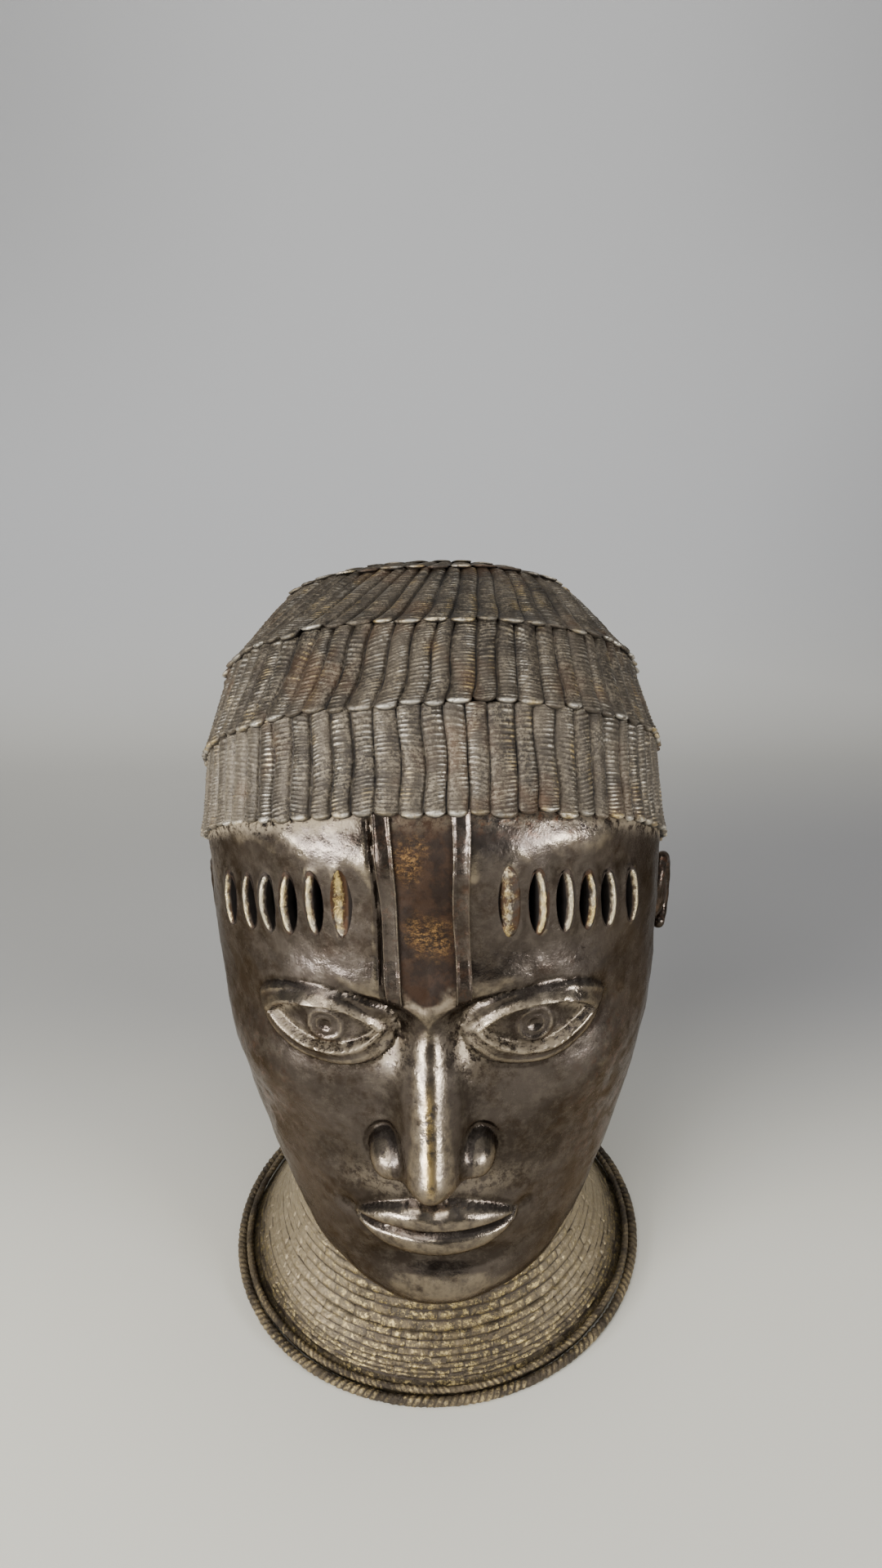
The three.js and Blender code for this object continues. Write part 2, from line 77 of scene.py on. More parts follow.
def curve(knots):
    """A smooth curve through (place, value) knots, flat at its last knot."""
    at, value = np.array(knots, float).T
    slope = np.zeros(len(at))
    slope[0] = (value[1] - value[0]) / (at[1] - at[0])
    slope[1:-1] = (value[2:] - value[:-2]) / (at[2:] - at[:-2])

    def read(p):
        p = np.clip(p, at[0], at[-1])
        i = np.clip(np.searchsorted(at, p, side="right") - 1, 0, len(at) - 2)
        step = at[i + 1] - at[i]
        t = (p - at[i]) / step
        return (
            value[i] * (2 * t**3 - 3 * t**2 + 1)
            + value[i + 1] * (3 * t**2 - 2 * t**3)
            + slope[i] * step * (t**3 - 2 * t**2 + t)
            + slope[i + 1] * step * (t**3 - t**2)
        )

    return read


def around(count):
    """Even angles once round."""
    return np.linspace(0, FULL_TURN, count, endpoint=False)


def points_at(x, y, z):
    return np.stack(np.broadcast_arrays(x, y, z), -1)


def bell(t):
    return np.exp(-t * t)


def bell2(a, b):
    return np.exp(-a * a - b * b)


def dome(t):
    return np.sqrt(np.clip(1 - t, 0, 1))


def smooth_step(start, end, v):
    t = np.clip((v - start) / (end - start), 0, 1)
    return t * t * (3 - 2 * t)


def smooth_max(a, b, k):
    t = np.clip(k - np.abs(a - b), 0, None) / k
    return np.maximum(a, b) + t * t * k / 4


def lumps(points, size, seed):
    """Smooth uneven waves from about -1 to 1, of about that size in millimetres."""
    rng = np.random.default_rng(seed)
    total = np.zeros(points.shape[:-1])
    count = 14
    for _ in range(count):
        way = rng.normal(size=3)
        way *= FULL_TURN / (size * rng.uniform(0.7, 1.5)) / np.linalg.norm(way)
        total += np.sin(points @ way + rng.uniform(0, FULL_TURN))
    return total / math.sqrt(count)


# The bare head: level sections, each an oval with its own front and back

HEAD_HEIGHT = 242.0
HEAD_FOOT = -4.0
CAP_FROM = 130.0
CAP_HEIGHT = HEAD_HEIGHT - CAP_FROM
CAP_HALF_WIDTH = 79.4
CAP_CENTRE = 8.0
CAP_FRONT = 83.5
CAP_BACK = 90.0
CAP_FULLNESS = 2.8
SECTION_FULLNESS = 2.15
BEYOND = 260.0  # further than the skin is from any point inside the head

# Knots of a height above the chin and the value there
width_share = curve(
    [(-4, 0.013), (0, 0.279), (6, 0.444), (15, 0.584), (30, 0.723), (50, 0.85), (70, 0.933), (92, 0.984)]
    + [(CAP_FROM, 1)]
)
centre_line = curve(
    [(-4, -50), (0, -46), (15, -34), (30, -18), (50, -2), (70, 6), (92, 8), (CAP_FROM, CAP_CENTRE)]
)
front_line = curve(
    [(-4, 52), (0, 67), (6, 74), (15, 77), (40, 77.5), (70, 77.5), (100, 78)]
    + [(CAP_FROM, CAP_FRONT - CAP_CENTRE)]
)
back_line = curve(
    [(-4, -48), (0, -34), (15, 0), (30, 32), (50, 60), (70, 79), (92, 91), (116, 97)]
    + [(CAP_FROM, CAP_CENTRE + CAP_BACK)]
)


def outside(p):
    """Below 0 inside the bare head and above 0 outside."""
    x, y, z = p[..., 0], p[..., 1], p[..., 2]
    low = z <= CAP_FROM
    t = np.clip((z - CAP_FROM) / CAP_HEIGHT, 0, 0.99999)
    full = (1 - t**CAP_FULLNESS) ** (1 / CAP_FULLNESS)
    centre = np.where(low, centre_line(z), CAP_CENTRE)
    half = CAP_HALF_WIDTH * np.where(low, width_share(z), full)
    front = np.where(low, centre + front_line(z), CAP_FRONT * full)
    back = np.where(low, back_line(z) - centre, CAP_BACK * np.sqrt(1 - t * t))
    depth = np.where(y < centre, front, back)
    value = (np.abs(x) / half) ** SECTION_FULLNESS + (np.abs(y - centre) / depth) ** SECTION_FULLNESS - 1
    return np.where((z >= HEAD_HEIGHT) | (z <= HEAD_FOOT), 1.0, value)


def narrowed(test, low, high, halvings):
    """Narrows the range from a low place, where the test holds, to a high one, where it doesn't."""
    for _ in range(halvings):
        mid = (low + high) / 2
        held = test(mid)
        low, high = np.where(held, mid, low), np.where(held, high, mid)
    return low, high


def skin(start, way):
    """Where lines from points inside leave the bare head."""
    start, way = np.broadcast_arrays(np.asarray(start, float), way)
    zero = np.zeros((*way.shape[:-1], 1))
    low, _ = narrowed(lambda mid: outside(start + way * mid)[..., None] < 0, zero, zero + BEYOND, 32)
    return start + way * low


def skin_normal(p):
    step = 0.4
    slope = [outside(p + step * axis) - outside(p - step * axis) for axis in np.eye(3)]
    return unit(np.stack(slope, -1))


def raised(p, height):
    """Points on the bare head, moved out along its normals."""
    return p + skin_normal(p) * np.asarray(height)[..., None]


def unit(v):
    return v / np.linalg.norm(v, axis=-1, keepdims=True)


# The hair's tilted axis

UP = np.array([0, math.sin(HAIR_TILT), math.cos(HAIR_TILT)])
BACK = np.array([0, math.cos(HAIR_TILT), -math.sin(HAIR_TILT)])
CAP_MIDDLE = np.array([0, CAP_CENTRE, CAP_FROM])
FACE_MIDDLE = np.array([0, 5.0, 90.0])
crown_reach = math.hypot(CAP_BACK * UP[1], CAP_HEIGHT * UP[2])
CROWN = CAP_MIDDLE + np.array([0, CAP_BACK**2 * UP[1], CAP_HEIGHT**2 * UP[2]]) / crown_reach
HAIR_SPAN = (CROWN - CAP_MIDDLE) @ UP
HAIRLINE_RISE = 3.7
HAIRLINE_LIFT = 6.3
TIER_SKEW = 2.6
TIER_LIFT = 1.6
FIRST_TIER = 0.308


def level_centre(level, angle):
    """The point on the hair's axis from which a level's ring is drawn at an angle."""
    level, angle = np.broadcast_arrays(np.asarray(level, float), angle)
    lift = HAIRLINE_LIFT * np.sin(angle) ** 2
    upper_lift = (TIER_SKEW * np.sin(angle) + TIER_LIFT * np.sin(angle) ** 2) * (1 - level**2)
    shift = lift + (upper_lift - lift) * np.minimum(level / FIRST_TIER, 1)
    share = HAIRLINE_RISE / HAIR_SPAN + level * (1 - HAIRLINE_RISE / HAIR_SPAN) + shift / HAIR_SPAN
    return CAP_MIDDLE + share[..., None] * (CROWN - CAP_MIDDLE)


def ring_way(angle):
    angle = np.asarray(angle)[..., None]
    return np.sin(angle) * np.array([1, 0, 0]) - np.cos(angle) * BACK


def ring_point(level, angle):
    return skin(level_centre(level, angle), ring_way(angle))


# The forehead's strips and marks

STRIP_TOP = 193.0
STRIP_FOOT = 131.0

# The marks above the eyes, the innermost of each side blind and the others pierced

MARK_ANGLES = np.radians([19, 26, 33, 39.4, 46.2, 55])
MARK_TOP = 164.0
MARK_DROP = 13.5
HOLE_HALF = np.array([1.6, 9.6])
BEVEL_WIDTH = 3.4
BEVEL_DEPTH = 0.8
MARK_HALF_LENGTH = 11.4
LINING_DEPTH = 3.9
OUTLINE_POINTS = 56


def mark_half(number):
    """Half width and half length of a mark with its bevel. The outer marks are wider and shorter."""
    return np.array([HOLE_HALF[0] + BEVEL_WIDTH / 2 + 0.13 * number, MARK_HALF_LENGTH - 0.3 * number])


def hole_half(number):
    return HOLE_HALF + [0.11 * number, -0.15 * number]


def mark_frames():
    """Each mark's side, number, centre on the skin, way out and way across."""
    made = []
    for side in (-1, 1):
        for i, angle in enumerate(MARK_ANGLES):
            t = (angle - MARK_ANGLES[0]) / (MARK_ANGLES[-1] - MARK_ANGLES[0])
            height = MARK_TOP - MARK_DROP * t**1.25
            way = np.array([side * math.sin(angle), -math.cos(angle), 0])
            centre = skin(np.array([0, 0, height]), way)
            made.append((side, i, centre, way, np.cross([0, 0, 1], way)))
    return made


MARKS = mark_frames()


def almond(a, b, half, up, down):
    """Signed distance to an almond of two arcs, below 0 inside."""

    def arc(rise, side):
        radius = (half * half + rise * rise) / (2 * rise)
        return np.hypot(a, b + side * (radius - rise)) - radius

    return np.maximum(arc(up, 1), arc(down, -1))


def mark_edge(p, mark):
    """Distance of points outside a mark's outline, and their place across it."""
    _, number, centre, way, across = mark
    off = p - centre
    u, v = off @ across, off[..., 2]
    half = mark_half(number)
    reach = np.hypot(u / half[0], v / half[1]) + 1e-6
    steep = np.hypot(u / half[0] ** 2, v / half[1] ** 2) / reach
    return np.where(off @ way > -20, (reach - 1) / np.maximum(steep, 0.02), 99), u


def mark_outline(half, count=OUTLINE_POINTS):
    """Points round a lens with slightly pointed ends, the first one on its outer side."""
    turn = around(count)
    across = np.sign(np.cos(turn)) * np.abs(np.cos(turn)) ** 1.2
    return np.stack([half[0] * across, half[1] * np.sin(turn)], -1)


# The face: a calm one on even proportions, as heights above the bare head.
# Each bell has a height in millimetres and the distance from its middle over its width, across and then up.

EYE_X, EYE_Z = 32.0, 121.0
EYE_HALF, EYE_UPPER, EYE_LOWER = 16.0, 8.5, 6.5
IRIS = 5.6
FACE_SINK = 0.3  # keeps the uneven skin inside the solid's box
MOUTH_Z, MOUTH_HALF = 48.0, 27.0
ridge = curve(
    [(64, 0), (67, 1.5), (70, 10), (73.5, 20), (78, 23.5), (83, 22.5), (92, 17.5), (105, 11.5), (118, 6.5),
     (129, 3.2), (135, 0)]
)
ridge_width = curve([(66, 9), (80, 9.5), (92, 8.5), (110, 7.5), (129, 6.5)])
upper_lip = curve([(0, 8.4), (5.5, 9.4), (15, 6.8), (22, 3.2), (27, 0.2)])
lower_lip = curve([(0, 11.5), (10, 11), (18, 7.5), (24, 3), (27, 0.2)])


def eye_relief(x, z):
    dx, dz = x - EYE_X, z - EYE_Z
    edge = almond(dx, dz, EYE_HALF, EYE_UPPER, EYE_LOWER)
    brow = 136 - 9 * ((x - 22) / 30) ** 2
    h = 3.2 * bell((z - brow) / np.where(z < brow, 5, 9)) * smooth_step(66, 44, x)
    h -= 3.4 * bell2((x - 30) / 17, (z - 122) / 10) + 2.6 * bell2((x - 12) / 6, (z - 122) / 9)
    h += 6.4 * dome((dx / 22) ** 2 + (dz / 14) ** 2)
    lid = np.where(dz > 0, 1.7, 1.35) * bell((edge - 1.1) / 1.15)
    h += np.where(edge > 0, lid, lid * bell(edge / 0.5)) - 1.3 * smooth_step(0.35, -0.45, edge)
    h -= 0.8 * bell((edge - 4.3) / 0.9) * smooth_step(-1, 4, dz) * smooth_step(-15, -8, dx)
    h -= 0.45 * bell((edge - 4.0) / 1.0) * smooth_step(-1, -4, dz) * smooth_step(17, 11, np.abs(dx))
    iris = np.hypot(dx + 0.5, dz - 0.4)
    h += smooth_step(0.2, -0.6, edge) * (
        0.75 * smooth_step(IRIS + 0.5, IRIS - 0.5, iris)
        - 0.4 * bell((iris - IRIS + 1.9) / 0.5)
        - 0.7 * smooth_step(2.3, 1.2, iris)
    )
    return h


def nose_relief(x, z):
    width = ridge_width(z)
    bridge = ridge(z) * (0.78 * np.exp(-0.9 * (x / width) ** 2.2) + 0.22 * bell(x / (2 * width)))
    wing_form = ((x - 11.5) / 8.5) ** 2 + ((z - 78) / 9) ** 2
    h = smooth_max(bridge, 13 * dome(wing_form) ** 1.1, 5) - 1.25
    h -= 1.1 * bell((np.sqrt(wing_form) - 1.12) / 0.14) * smooth_step(8, 14, x)
    h -= 3.2 * bell2((x - 8.5) / 3.6, (z - 70.8) / 2.3)
    return h


def mouth_relief(x, z):
    h = 4.5 * bell2(x / 27, (z - 50) / 24)
    fade = np.clip(1 - (x / (MOUTH_HALF + 1)) ** 2, 0, 1) ** 0.7
    up = (z - MOUTH_Z) / upper_lip(x)
    down = (MOUTH_Z - z) / lower_lip(x)
    lips = np.where(up >= 0, 5.5 * dome(((up - 0.45) / 0.6) ** 2), 6.5 * dome(((down - 0.45) / 0.6) ** 2))
    h += fade * lips
    border = np.where(up >= 0, (up - 1.04) * upper_lip(x), (down - 1.04) * lower_lip(x))
    h += 0.55 * fade * bell(border / 0.9)
    h -= 1.1 * smooth_step(MOUTH_HALF + 3, MOUTH_HALF - 3, x) * bell((z - MOUTH_Z) / 0.9)
    h -= 1.2 * bell2((x - 29.5) / 3.2, (z - 48.5) / 3.6)
    h += 0.7 * bell2((x - 4.2) / 1.5, (z - 61.5) / 4.5) - 1.1 * bell2(x / 2.4, (z - 61.5) / 5)
    return h


def mark_relief(p):
    """A low lip round each mark, and the groove beside the right strip."""
    h = np.zeros(p.shape[:-1])
    for mark in MARKS:
        edge, u = mark_edge(p, mark)
        outer = smooth_step(-2, 2, u * mark[0])
        h += (0.15 + 0.3 * outer) * bell(np.maximum(edge, 0) / 1.3)
    groove = strip_middle(-1, strip_share(p[..., 2])) - STRIP_WIDTH / 2 - 0.7 - p[..., 0]
    h -= 1.2 * bell(groove / 0.75) * smooth_step(STRIP_FOOT, STRIP_FOOT + 6, p[..., 2])
    return h


def strip_share(z):
    return np.clip((z - STRIP_FOOT) / (STRIP_TOP - STRIP_FOOT), 0, 1)


def strip_middle(side, t):
    """Where a strip's middle runs. They lean a little, as they were laid by hand."""
    return 10.6 + 0.2 * t + 0.25 * np.sin(9 * t) if side > 0 else -9.4 - 2.4 * t - 0.25 * np.sin(8 * t)


def relief(p):
    """Height of the face above the bare head at points on it."""
    x, z = np.abs(p[..., 0]), p[..., 2]
    in_face = smooth_step(-8, -34, p[..., 1]) * smooth_step(170, 150, z)
    form = (
        eye_relief(x, z)
        + nose_relief(x, z)
        + mouth_relief(x, z)
        + 4.5 * bell2(x / 17, (z - 14) / 10)
        - 3 * bell2(x / 17, (z - 30) / 5.5)
        + 3.5 * bell2((x - 50) / 17, (z - 97) / 15)
    )
    swell = 1.9 * bell((z - 178) / 9) * smooth_step(-20, -50, p[..., 1]) * smooth_step(9, 15, x)
    cast = swell + 0.26 * lumps(p, 21, 11) + 0.05 * lumps(p, 6, 12) + 0.02 * lumps(p, 2.6, 13)
    return form * in_face + mark_relief(p) + cast - FACE_SINK


# Meshes from grids of points


def mesh_piece(name, points, faces, material, values=None):
    """A smooth-shaded piece of the head from millimetre points, with values for its material."""
    mesh = bpy.data.meshes.new(name)
    mesh.vertices.add(len(points))
    mesh.vertices.foreach_set("co", (points * MM).astype(np.float32).ravel())
    sizes = np.array([len(face) for face in faces])
    corners = np.concatenate(faces)
    mesh.loops.add(len(corners))
    mesh.loops.foreach_set("vertex_index", corners.astype(np.int32))
    mesh.polygons.add(len(sizes))
    mesh.polygons.foreach_set("loop_start", (np.cumsum(sizes) - sizes).astype(np.int32))
    mesh.update(calc_edges=True)
    mesh.validate()
    set_values(mesh, values or {})
    mesh.shade_smooth()
    piece = bpy.data.objects.new(name, mesh)
    bpy.context.scene.collection.objects.link(piece)
    mesh.materials.append(material)
    return piece


def set_values(mesh, values):
    """Gives every point its value of each name, for the material to read."""
    for key, value in values.items():
        layer = mesh.attributes.new(key, "FLOAT", "POINT")
        layer.data.foreach_set("value", np.ravel(value).astype(np.float32))


def grid_faces(rows, columns, wrap_rows):
    """Quads of a grid whose columns close on themselves, and whose rows may too."""
    i, j = np.meshgrid(np.arange(rows if wrap_rows else rows - 1), np.arange(columns), indexing="ij")
    below, above, on = i * columns, ((i + 1) % rows) * columns, (j + 1) % columns
    return np.stack([below + j, below + on, above + on, above + j], -1).reshape(-1, 4)


def ring_piece(name, grid, material, values=None):
    """A closed ring-shaped piece from rows that lead round its section."""
    points = grid.reshape(-1, 3)
    faces = grid_faces(*grid.shape[:2], True)
    return mesh_piece(name, points, faces if volume(points, faces) > 0 else faces[:, ::-1], material, values)


def capped_piece(name, grid, material, values=None, ends=None):
    """A closed piece from rows of points between two ends, which are the end rows' middles if not given."""
    rows, columns = grid.shape[:2]
    points = np.concatenate([grid.reshape(-1, 3), ends or (grid[0].mean(0), grid[-1].mean(0))])
    j = np.arange(columns)
    on = (j + 1) % columns
    top = (rows - 1) * columns
    start = np.stack([on, j, np.full(columns, rows * columns)], -1)
    end = np.stack([top + j, top + on, np.full(columns, rows * columns + 1)], -1)
    faces = [grid_faces(rows, columns, False), start, end]
    if volume(points, faces[0]) < 0:
        faces = [part[:, ::-1] for part in faces]
    spread = {}
    for key, value in (values or {}).items():
        flat = np.ravel(value)
        spread[key] = np.concatenate([flat, flat[:1], flat[-1:]])
    return mesh_piece(name, points, [face for part in faces for face in part], material, spread)


def volume(points, quads):
    """Above 0 where the quads face outwards."""
    a, b, c, d = (points[quads[:, k]] - points.mean(0) for k in range(4))
    return np.einsum("ij,ij->i", a, np.cross(b, c)).sum() + np.einsum("ij,ij->i", a, np.cross(c, d)).sum()


def side_name(side):
    return "left" if side > 0 else "right"


def keep(piece):
    """The piece belongs to the one casting."""
    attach(piece, "root")
    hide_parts(NODE)
    return piece


# Materials


class Shader:
    """A new material, with short ways to add and join nodes."""

    def __init__(self, name):
        self.material = bpy.data.materials.new(name)
        self.material.use_nodes = True
        self.tree = self.material.node_tree
        self.main = self.tree.nodes["Principled BSDF"]
        self.place = self.add("ShaderNodeTexCoord").outputs["Object"]

    def add(self, kind, inputs=None):
        return self.fill(self.tree.nodes.new(kind), inputs or {})

    def fill(self, node, inputs):
        """Gives a node's inputs numbers, colours or other nodes' outputs."""
        for name, value in inputs.items():
            socket = node.inputs[name]
            if isinstance(value, bpy.types.NodeSocket):
                self.tree.links.new(value, socket)
            elif socket.type == "RGBA" and len(value) == 3:
                socket.default_value = (*value, 1)
            else:
                socket.default_value = value
        return node

    def math(self, kind, a, b=0.5):
        node = self.add("ShaderNodeMath", {0: a, 1: b})
        node.operation = kind
        return node.outputs[0]

    def times(self, value, *others):
        for other in others:
            value = self.math("MULTIPLY", value, other)
        return value

    def most(self, value, *others):
        for other in others:
            value = self.math("MAXIMUM", value, other)
        return value

    def attribute(self, name):
        node = self.add("ShaderNodeAttribute")
        node.attribute_name = name
        return node.outputs["Fac"]

    def noise(self, size, detail=3.0, rough=0.6, stretch=None):
        """Noise from about 0.3 to 0.7, of about that size in millimetres."""
        place = self.place
        if stretch:
            place = self.add("ShaderNodeMapping", {"Vector": place, "Scale": stretch}).outputs[0]
        inputs = {"Vector": place, "Scale": 1 / (size * MM), "Detail": detail, "Roughness": rough}
        return self.add("ShaderNodeTexNoise", inputs).outputs["Fac"]

    def cells(self, size):
        """Distance from the nearest of many points, about that many millimetres apart."""
        inputs = {"Vector": self.place, "Scale": 1 / (size * MM)}
        return self.add("ShaderNodeTexVoronoi", inputs).outputs["Distance"]

    def ramp(self, value, low, high):
        """0 below low, 1 above high and smooth between."""
        node = self.add("ShaderNodeMapRange", {"Value": value, "From Min": low, "From Max": high})
        node.interpolation_type = "SMOOTHSTEP"
        return node.outputs[0]

    def scale(self, value, low, high):
        """Carries 0 to 1 over to low to high."""
        return self.add("ShaderNodeMapRange", {"Value": value, "To Min": low, "To Max": high}).outputs[0]

    def patches(self, size, low, high, detail=4, rough=0.6, stretch=None):
        """0 and 1 in patches of about that size in millimetres."""
        return self.ramp(self.noise(size, detail, rough, stretch), low, high)

    def mix(self, share, a, b):
        """A colour between two."""
        node = self.add("ShaderNodeMix")
        node.data_type = "RGBA"
        return self.fill(node, {"Factor": share, 6: a, 7: b}).outputs[2]

    def blend(self, share, a, b):
        """A number between two."""
        node = self.add("ShaderNodeMix")
        node.data_type = "FLOAT"
        return self.fill(node, {"Factor": share, 2: a, 3: b}).outputs[0]

    def layers(self, colour, *laid):
        """A colour with others laid over it, each by its share."""
        for share, over in laid:
            colour = self.mix(share, colour, over)
        return colour

    def bump(self, height, depth, under=None):
        """A bump of that depth in millimetres, on top of another if there is one."""
        inputs = {"Distance": depth * MM, "Height": height}
        if under is not None:
            inputs["Normal"] = under
        return self.add("ShaderNodeBump", inputs).outputs[0]

    def surface(self, colour, roughness, metal, normal, gloss=0.5):
        inputs = {"Base Color": colour, "Roughness": roughness, "Metallic": metal, "Normal": normal}
        self.fill(self.main, inputs | {"Specular IOR Level": gloss})


# Colours of the face's patina, the marks, the hair, the beads and the rope

# BLACK is painted shade in the marks' cuts and grooves and in the hair's grooves
BLACK = (0.010, 0.008, 0.007)
PATINA_DARK, PATINA_LIGHT = (0.042, 0.033, 0.027), (0.084, 0.069, 0.059)
STAIN = (0.034, 0.023, 0.016)
# The dark earth colours are the panel's own brown, and painted shade where the rust value lies under the
# hair's edge and on the ears
EARTH_AND_SHADE_DARK, EARTH_AND_SHADE_LIGHT = (0.009, 0.0045, 0.003), (0.026, 0.012, 0.006)
SPECK = (0.225, 0.125, 0.045)
WORN_EDGE = (0.50, 0.41, 0.29)
BRASS = (0.66, 0.46, 0.18)
# HOLLOW is painted shade, laid in the face's hollows and creases
HOLLOW = (0.022, 0.016, 0.012)
RUST = (0.130, 0.055, 0.028)
FILM = (0.190, 0.162, 0.130)
DUST = (0.26, 0.21, 0.14)
SHEEN_TINT = (0.50, 0.44, 0.38, 1)

MARK_SILVER, MARK_GOLD = (0.64, 0.56, 0.42), (0.70, 0.53, 0.21)
MARK_DULL, MARK_RED = (0.060, 0.048, 0.039), (0.066, 0.036, 0.020)

HAIR_DARK, HAIR_LIGHT = (0.038, 0.030, 0.022), (0.080, 0.064, 0.046)
HAIR_RED = (0.090, 0.048, 0.024)
HAIR_SHADE = (0.022, 0.018, 0.013)
HAIR_DRY = (0.220, 0.180, 0.125)
HAIR_GRAIN = (0.26, 0.215, 0.15)
# HAIR_RIB is dust and painted highlight on the crests of the ribs
HAIR_RIB = (0.34, 0.285, 0.20)
HAIR_SILVER, HAIR_GOLD = (0.80, 0.74, 0.62), (0.74, 0.54, 0.22)

BEAD_DARK, BEAD_LIGHT = (0.034, 0.025, 0.014), (0.098, 0.073, 0.041)
BEAD_STAIN = (0.034, 0.024, 0.014)
BEAD_WORN = (0.26, 0.20, 0.112)
BEAD_GOLD = (0.58, 0.44, 0.18)
BEAD_DRY = (0.345, 0.276, 0.172)
# BEAD_GAP is painted shade in the gaps between the beads
BEAD_GAP = (0.030, 0.020, 0.012)

ROPE_DARK, ROPE_LIGHT = (0.045, 0.033, 0.020), (0.120, 0.090, 0.052)
ROPE_GOLD = (0.56, 0.43, 0.21)
# ROPE_GAP is painted shade between the strands
ROPE_GAP = (0.026, 0.019, 0.011)


def face_bronze():
    """Glossy dark patina with rust, a thin film, dust under the hair and edges worn to brass, and painted
    shade: hollows darkened towards black, and dark earth laid by the rust value under the hair's edge and
    over the ears.
    """
    n = Shader("face_bronze")
    form, speckle, rust_and_shade_share = n.attribute("form"), n.attribute("speckle"), n.attribute("rust_and_shade")
    fine, grit = n.noise(3.4, 4, 0.65), n.noise(0.9, 3, 0.7)
    panel = n.ramp(speckle, 0.0, 0.2)
    beside_panel = n.math("SUBTRACT", 1.0, panel)
    # The rust value is partly painted shade: under the hair's edge and on the ears it darkens the metal to
    # dark earth
    rust_and_shade = n.most(n.times(rust_and_shade_share, n.patches(8, 0.40, 0.58, 5, 0.7)), n.times(panel, 0.9))
    specks = n.ramp(n.times(speckle, n.noise(7, 4, 0.7)), 0.19, 0.60)
    specks = n.times(specks, n.patches(1.8, 0.46, 0.62, 6, 0.9, (1, 1, 1.6)))
    worn = n.times(n.ramp(form, 0.35, 1.15), n.ramp(fine, 0.26, 0.66))
    gold = n.times(n.attribute("gold"), n.ramp(fine, 0.34, 0.52))
    # Painted shade: where the surface sinks below its surroundings, in hollows, creases, the groove beside
    # the strip and over the ears, it is darkened towards near black
    hollow = n.ramp(n.times(form, -1.0), 0.25, 0.95)
    flecks = n.times(rust_and_shade_share, beside_panel, n.patches(4, 0.51, 0.60, 7, 0.85))
    film = n.times(n.patches(6, 0.44, 0.62, 8, 0.85), beside_panel, 0.22)
    dust = n.times(n.attribute("dust"), n.patches(3, 0.40, 0.56, 6, 0.8))
    colour = n.layers(
        n.mix(n.patches(34, 0.36, 0.64), PATINA_DARK, PATINA_LIGHT),
        (n.times(n.patches(13, 0.50, 0.66, 6, 0.7), 0.7), STAIN),
        (n.times(rust_and_shade, 0.9), n.mix(n.patches(5, 0.4, 0.6, 4, 0.7), EARTH_AND_SHADE_DARK, EARTH_AND_SHADE_LIGHT)),
        (specks, SPECK),
        (n.times(worn, 0.40), WORN_EDGE),
        (gold, BRASS),
        (n.times(hollow, 0.7), HOLLOW),
        (n.times(flecks, 0.6), RUST),
        (film, FILM),
        (dust, DUST),
    )
    shine = n.scale(n.patches(11, 0.35, 0.65, 5, 0.7), 0.14, 0.26)
    matt = n.most(dust, n.times(film, 0.5), n.times(panel, 0.7))
    pits = n.ramp(n.cells(5.5), 0.08, 0.20)
    n.surface(
        colour,
        roughness=n.blend(matt, n.math("ADD", shine, n.times(grit, 0.06)), 0.65),
        metal=n.blend(dust, n.blend(rust_and_shade, n.blend(n.most(worn, gold), 0.90, 0.98), 0.40), 0.15),
        normal=n.bump(grit, 0.05, n.bump(fine, 0.20, n.bump(pits, 0.05))),
        gloss=0.4,
    )
    n.main.inputs["Specular Tint"].default_value = SHEEN_TINT
    return n.material


def mark_bronze():
    """Bevels polished bright along their crest and dull at their edges, and painted shade: black inside the
    cuts and in the blind marks' grooves, where the bright value is low.
    """
    n = Shader("mark_bronze")
    bright = n.attribute("bright")
    fine = n.noise(1.6, 5, 0.85, (1, 1, 0.7))
    grit = n.noise(0.7, 3, 0.7)
    warm = n.times(n.attribute("warm"), n.patches(4, 0.36, 0.56, 3))
    polished = n.ramp(n.math("ADD", n.attribute("streak"), n.times(fine, 2.2)), 1.50, 2.15)
    bevel = n.mix(polished, n.mix(warm, MARK_DULL, MARK_RED), n.mix(warm, MARK_SILVER, MARK_GOLD))
    # Painted shade: where the bright value falls to 0 the colour is black
    n.surface(
        n.mix(n.ramp(bright, 0.05, 0.75), BLACK, bevel),
        roughness=n.blend(bright, 0.85, n.blend(polished, 0.30, 0.18)),
        metal=n.times(bright, 0.95),
        normal=n.bump(grit, 0.05, n.bump(fine, 0.32)),
        gloss=0.1,
    )
    return n.material


